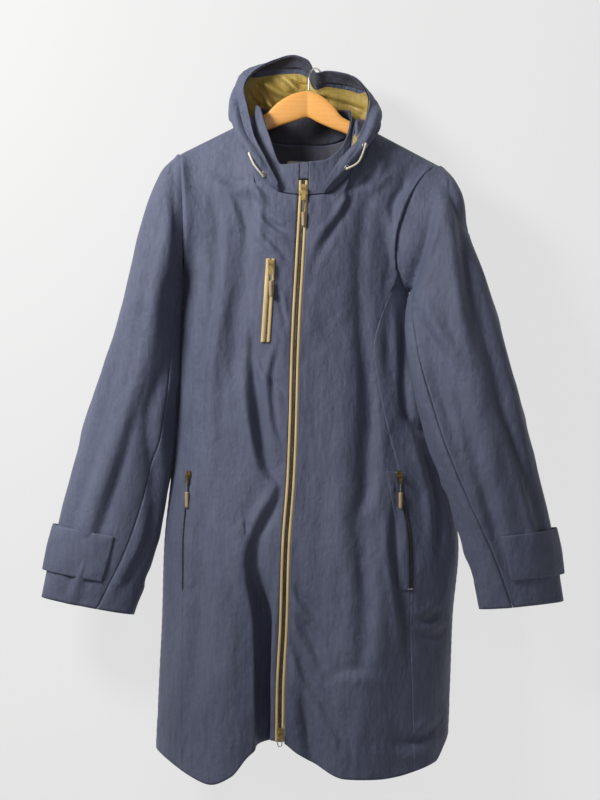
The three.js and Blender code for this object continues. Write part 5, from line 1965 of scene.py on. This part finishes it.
# ---------------------------------------------------------------------------- hanger
@dataclass
class Hanger:
    """Contoured wooden hanger in two arms that meet at a ridge, with its wire hook."""

    workshop: Workshop
    plane_y: float = -20.0
    half_thick: float = 5.9
    bend: float = 6.0
    ridge_x: float = -14.0
    wire: float = 1.25
    hook_radius: float = 23.25
    hook_turn: float = 30.0
    outline: Table = Table(
        ("x", "top", "foot"),
        (
            (-196.5, -135, -136.5),
            (-195, -131.5, -140),
            (-191, -128, -142),
            (-185, -124.7, -140.2),
            (-130, -97.5, -118.1),
            (-96, -80.6, -104.4),
            (-76, -70.7, -96.4),
            (-60.8, -55.9, -90.9),
            (-45.2, -45.2, -85.5),
            (-29.3, -38.5, -80.5),
            (-14, -36, -75.8),
            (0.3, -39.9, -82.6),
            (13.2, -47.8, -88.7),
            (25.8, -59.5, -94),
            (38, -75.1, -98.6),
            (60, -86.7, -108.8),
            (110, -113, -132.1),
            (155, -136.8, -153),
            (162, -140.8, -155.2),
            (166, -144.5, -153),
            (167.5, -148, -149.5),
        ),
    )

    def wood(self) -> None:
        """Builds the two arms."""
        low, high = self.outline.station[[0, -1]]
        ends_and_middle = ((low, low + 12, 14), (low + 13, high - 13, 170), (high - 12, high, 14))
        x = np.concatenate([np.linspace(*span) for span in ends_and_middle])
        top, foot = self.outline.at("top", x), self.outline.at("foot", x)
        turn = np.linspace(0, 2 * np.pi, 41)[:-1]
        rise = np.sign(np.sin(turn)) * np.abs(np.sin(turn)) ** 0.72
        deep = np.sign(np.cos(turn)) * np.abs(np.cos(turn)) ** 0.62
        ends = np.sqrt(np.clip(np.minimum(x - low, high - x) / 9, 0.02, 1))
        notch = 1 - 0.05 * np.exp(-(((x - self.ridge_x) / 0.8) ** 2))
        half = self.half_thick * ends * notch
        reach = np.abs(x - self.ridge_x)
        bend = (self.bend * (1 - np.exp(-reach / 36)) - 1.5) * (1 - smooth(80, 150, reach))
        points = vec(
            x[:, None] + 0 * turn,
            (self.plane_y - bend)[:, None] + half[:, None] * deep,
            (top + foot)[:, None] / 2 + (top - foot)[:, None] / 2 * rise,
        )
        index = np.arange(points.shape[0] * 40).reshape(-1, 40)
        after = np.roll(index, -1, 1)
        faces = np.stack([index[:-1], after[:-1], after[1:], index[1:]], -1).reshape(-1, 4)
        a, b = index[0], index[-1]
        caps = [(a[i], a[i + 1], a[38 - i], a[39 - i]) for i in range(19)]
        caps += [(b[i + 1], b[i], b[39 - i], b[38 - i]) for i in range(19)]
        faces = np.concatenate([faces, np.array(caps)])
        self.workshop.mesh("hanger_wood", points, faces[:, ::-1], Finish.WOOD, ("hanger",))

    def hook(self) -> None:
        """Builds the wire hook."""
        turn = math.radians(self.hook_turn)
        way = np.array([math.sin(turn), math.cos(turn), 0])
        middle = self.wire - self.hook_radius
        stem = -self.hook_radius * way + vec(0, 0, np.linspace(-35.5, middle - 3, 8))
        angle = np.radians(np.linspace(180, 0, 60))[:, None]
        round_ = np.cos(angle) * way + np.sin(angle) * vec(0, 0, 1)
        path = np.concatenate([stem, self.hook_radius * round_ + vec(0, 0, middle)])
        node = "hanger_hook"
        self.workshop.tube(f"{node}_wire", path, self.wire, Finish.WIRE, (node,), sides=16)

    def build(self) -> None:
        """Builds the hanger."""
        self.wood()
        self.hook()


# ---------------------------------------------------------------------------- studio
@dataclass(frozen=True)
class Lamp:
    """A soft square lamp."""

    name: str
    place: Place
    size: float
    power: float
    colour: Colour


@dataclass(frozen=True)
class Studio:
    """Wall, floor, lights and camera, in metres."""

    wall_y: float = 0.062
    floor_z: float = -1.8
    target: Place = (-0.025, -0.03, -0.501)
    distance: float = 3.0
    frame_height: float = 1.2
    sensor: float = 36.0
    reach: float = 6.0
    wall: Plain = Plain("studio_wall", (0.14, 0.14, 0.14), 5.0)
    floor: Plain = Plain("studio_floor", (0.45, 0.45, 0.45), 0.2)
    air: Colour = (0.93, 0.95, 1.0)
    air_strength: float = 0.05
    lamps: tuple[Lamp, ...] = (
        Lamp("key_lamp", (-1.0, -0.9, 0.36), 0.42, 25.0, (1.0, 0.99, 0.97)),
        Lamp("front_lamp", (0.15, -1.9, 0.1), 1.0, 3.5, (1.0, 0.97, 0.97)),
    )

    def sheet(self, name: str, corners: Sequence[Place], finish: Plain) -> None:
        """Adds one flat backdrop."""
        data = bpy.data.meshes.new(name)
        data.from_pydata(list(corners), [], [(0, 1, 2, 3)])
        piece = bpy.data.objects.new(name, data)
        bpy.context.scene.collection.objects.link(piece)
        material = finish.dress()
        self.open_behind(material)
        data.materials.append(material)

    def open_behind(self, material: bpy.types.Material) -> None:
        """Lets a backdrop be seen through from behind, so that the coat's back can be looked at."""
        tree = material.node_tree
        output = next(node for node in tree.nodes if node.type == "OUTPUT_MATERIAL")
        front = output.inputs["Surface"].links[0].from_socket
        kinds = ("ShaderNodeMixShader", "ShaderNodeBsdfTransparent", "ShaderNodeNewGeometry")
        mixer, clear, side = (tree.nodes.new(kind) for kind in kinds)
        tree.links.new(side.outputs["Backfacing"], mixer.inputs[0])
        tree.links.new(front, mixer.inputs[1])
        tree.links.new(clear.outputs[0], mixer.inputs[2])
        tree.links.new(mixer.outputs[0], output.inputs["Surface"])

    def shine(self, lamp: Lamp) -> None:
        """Adds a lamp that points at the coat."""
        light = bpy.data.lights.new(lamp.name, "AREA")
        light.size, light.energy, light.color = lamp.size, lamp.power, lamp.colour
        stand = bpy.data.objects.new(lamp.name, light)
        stand.location = lamp.place
        aim = Vector(self.target) - Vector(lamp.place)
        stand.rotation_euler = aim.to_track_quat("-Z", "Y").to_euler()
        bpy.context.scene.collection.objects.link(stand)

    def build(self) -> None:
        """Sets up the studio."""
        scene = bpy.context.scene
        y, z, reach = self.wall_y, self.floor_z, self.reach
        wall = [(-reach, y, z), (reach, y, z), (reach, y, reach), (-reach, y, reach)]
        floor = [(-reach, -reach, z), (reach, -reach, z), (reach, y, z), (-reach, y, z)]
        self.sheet("studio_wall", wall, self.wall)
        self.sheet("studio_floor", floor, self.floor)
        world = bpy.data.worlds.new("studio_air")
        world.use_nodes = True
        air = world.node_tree.nodes["Background"]
        air.inputs["Color"].default_value = (*self.air, 1.0)
        air.inputs["Strength"].default_value = self.air_strength
        scene.world = world
        for lamp in self.lamps:
            self.shine(lamp)
        scene.view_settings.view_transform = "Standard"
        camera = bpy.data.objects.new("camera", bpy.data.cameras.new("camera"))
        camera.data.lens = self.sensor * self.distance / self.frame_height
        camera.data.sensor_width = self.sensor
        camera.location = (self.target[0], self.target[1] - self.distance, self.target[2])
        camera.rotation_euler = (math.pi / 2, 0, 0)
        scene.collection.objects.link(camera)
        scene.camera = camera


def main() -> None:
    """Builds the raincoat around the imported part."""
    logging.basicConfig(level=logging.INFO, format="%(name)s %(message)s")
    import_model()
    form, workshop = CoatForm(), Workshop()
    stitches = Stitching(workshop)
    Body(form, workshop, stitches).build()
    for side in Side:
        Sleeve(form, workshop, stitches, side).build()
    Collar(form, workshop, stitches).build()
    Hood(form, workshop, stitches).build()
    Trims(form, workshop, stitches).build()
    stitches.finish("topstitching")
    Hanger(workshop).build()
    Studio().build()


if __name__ == "__main__":
    main()
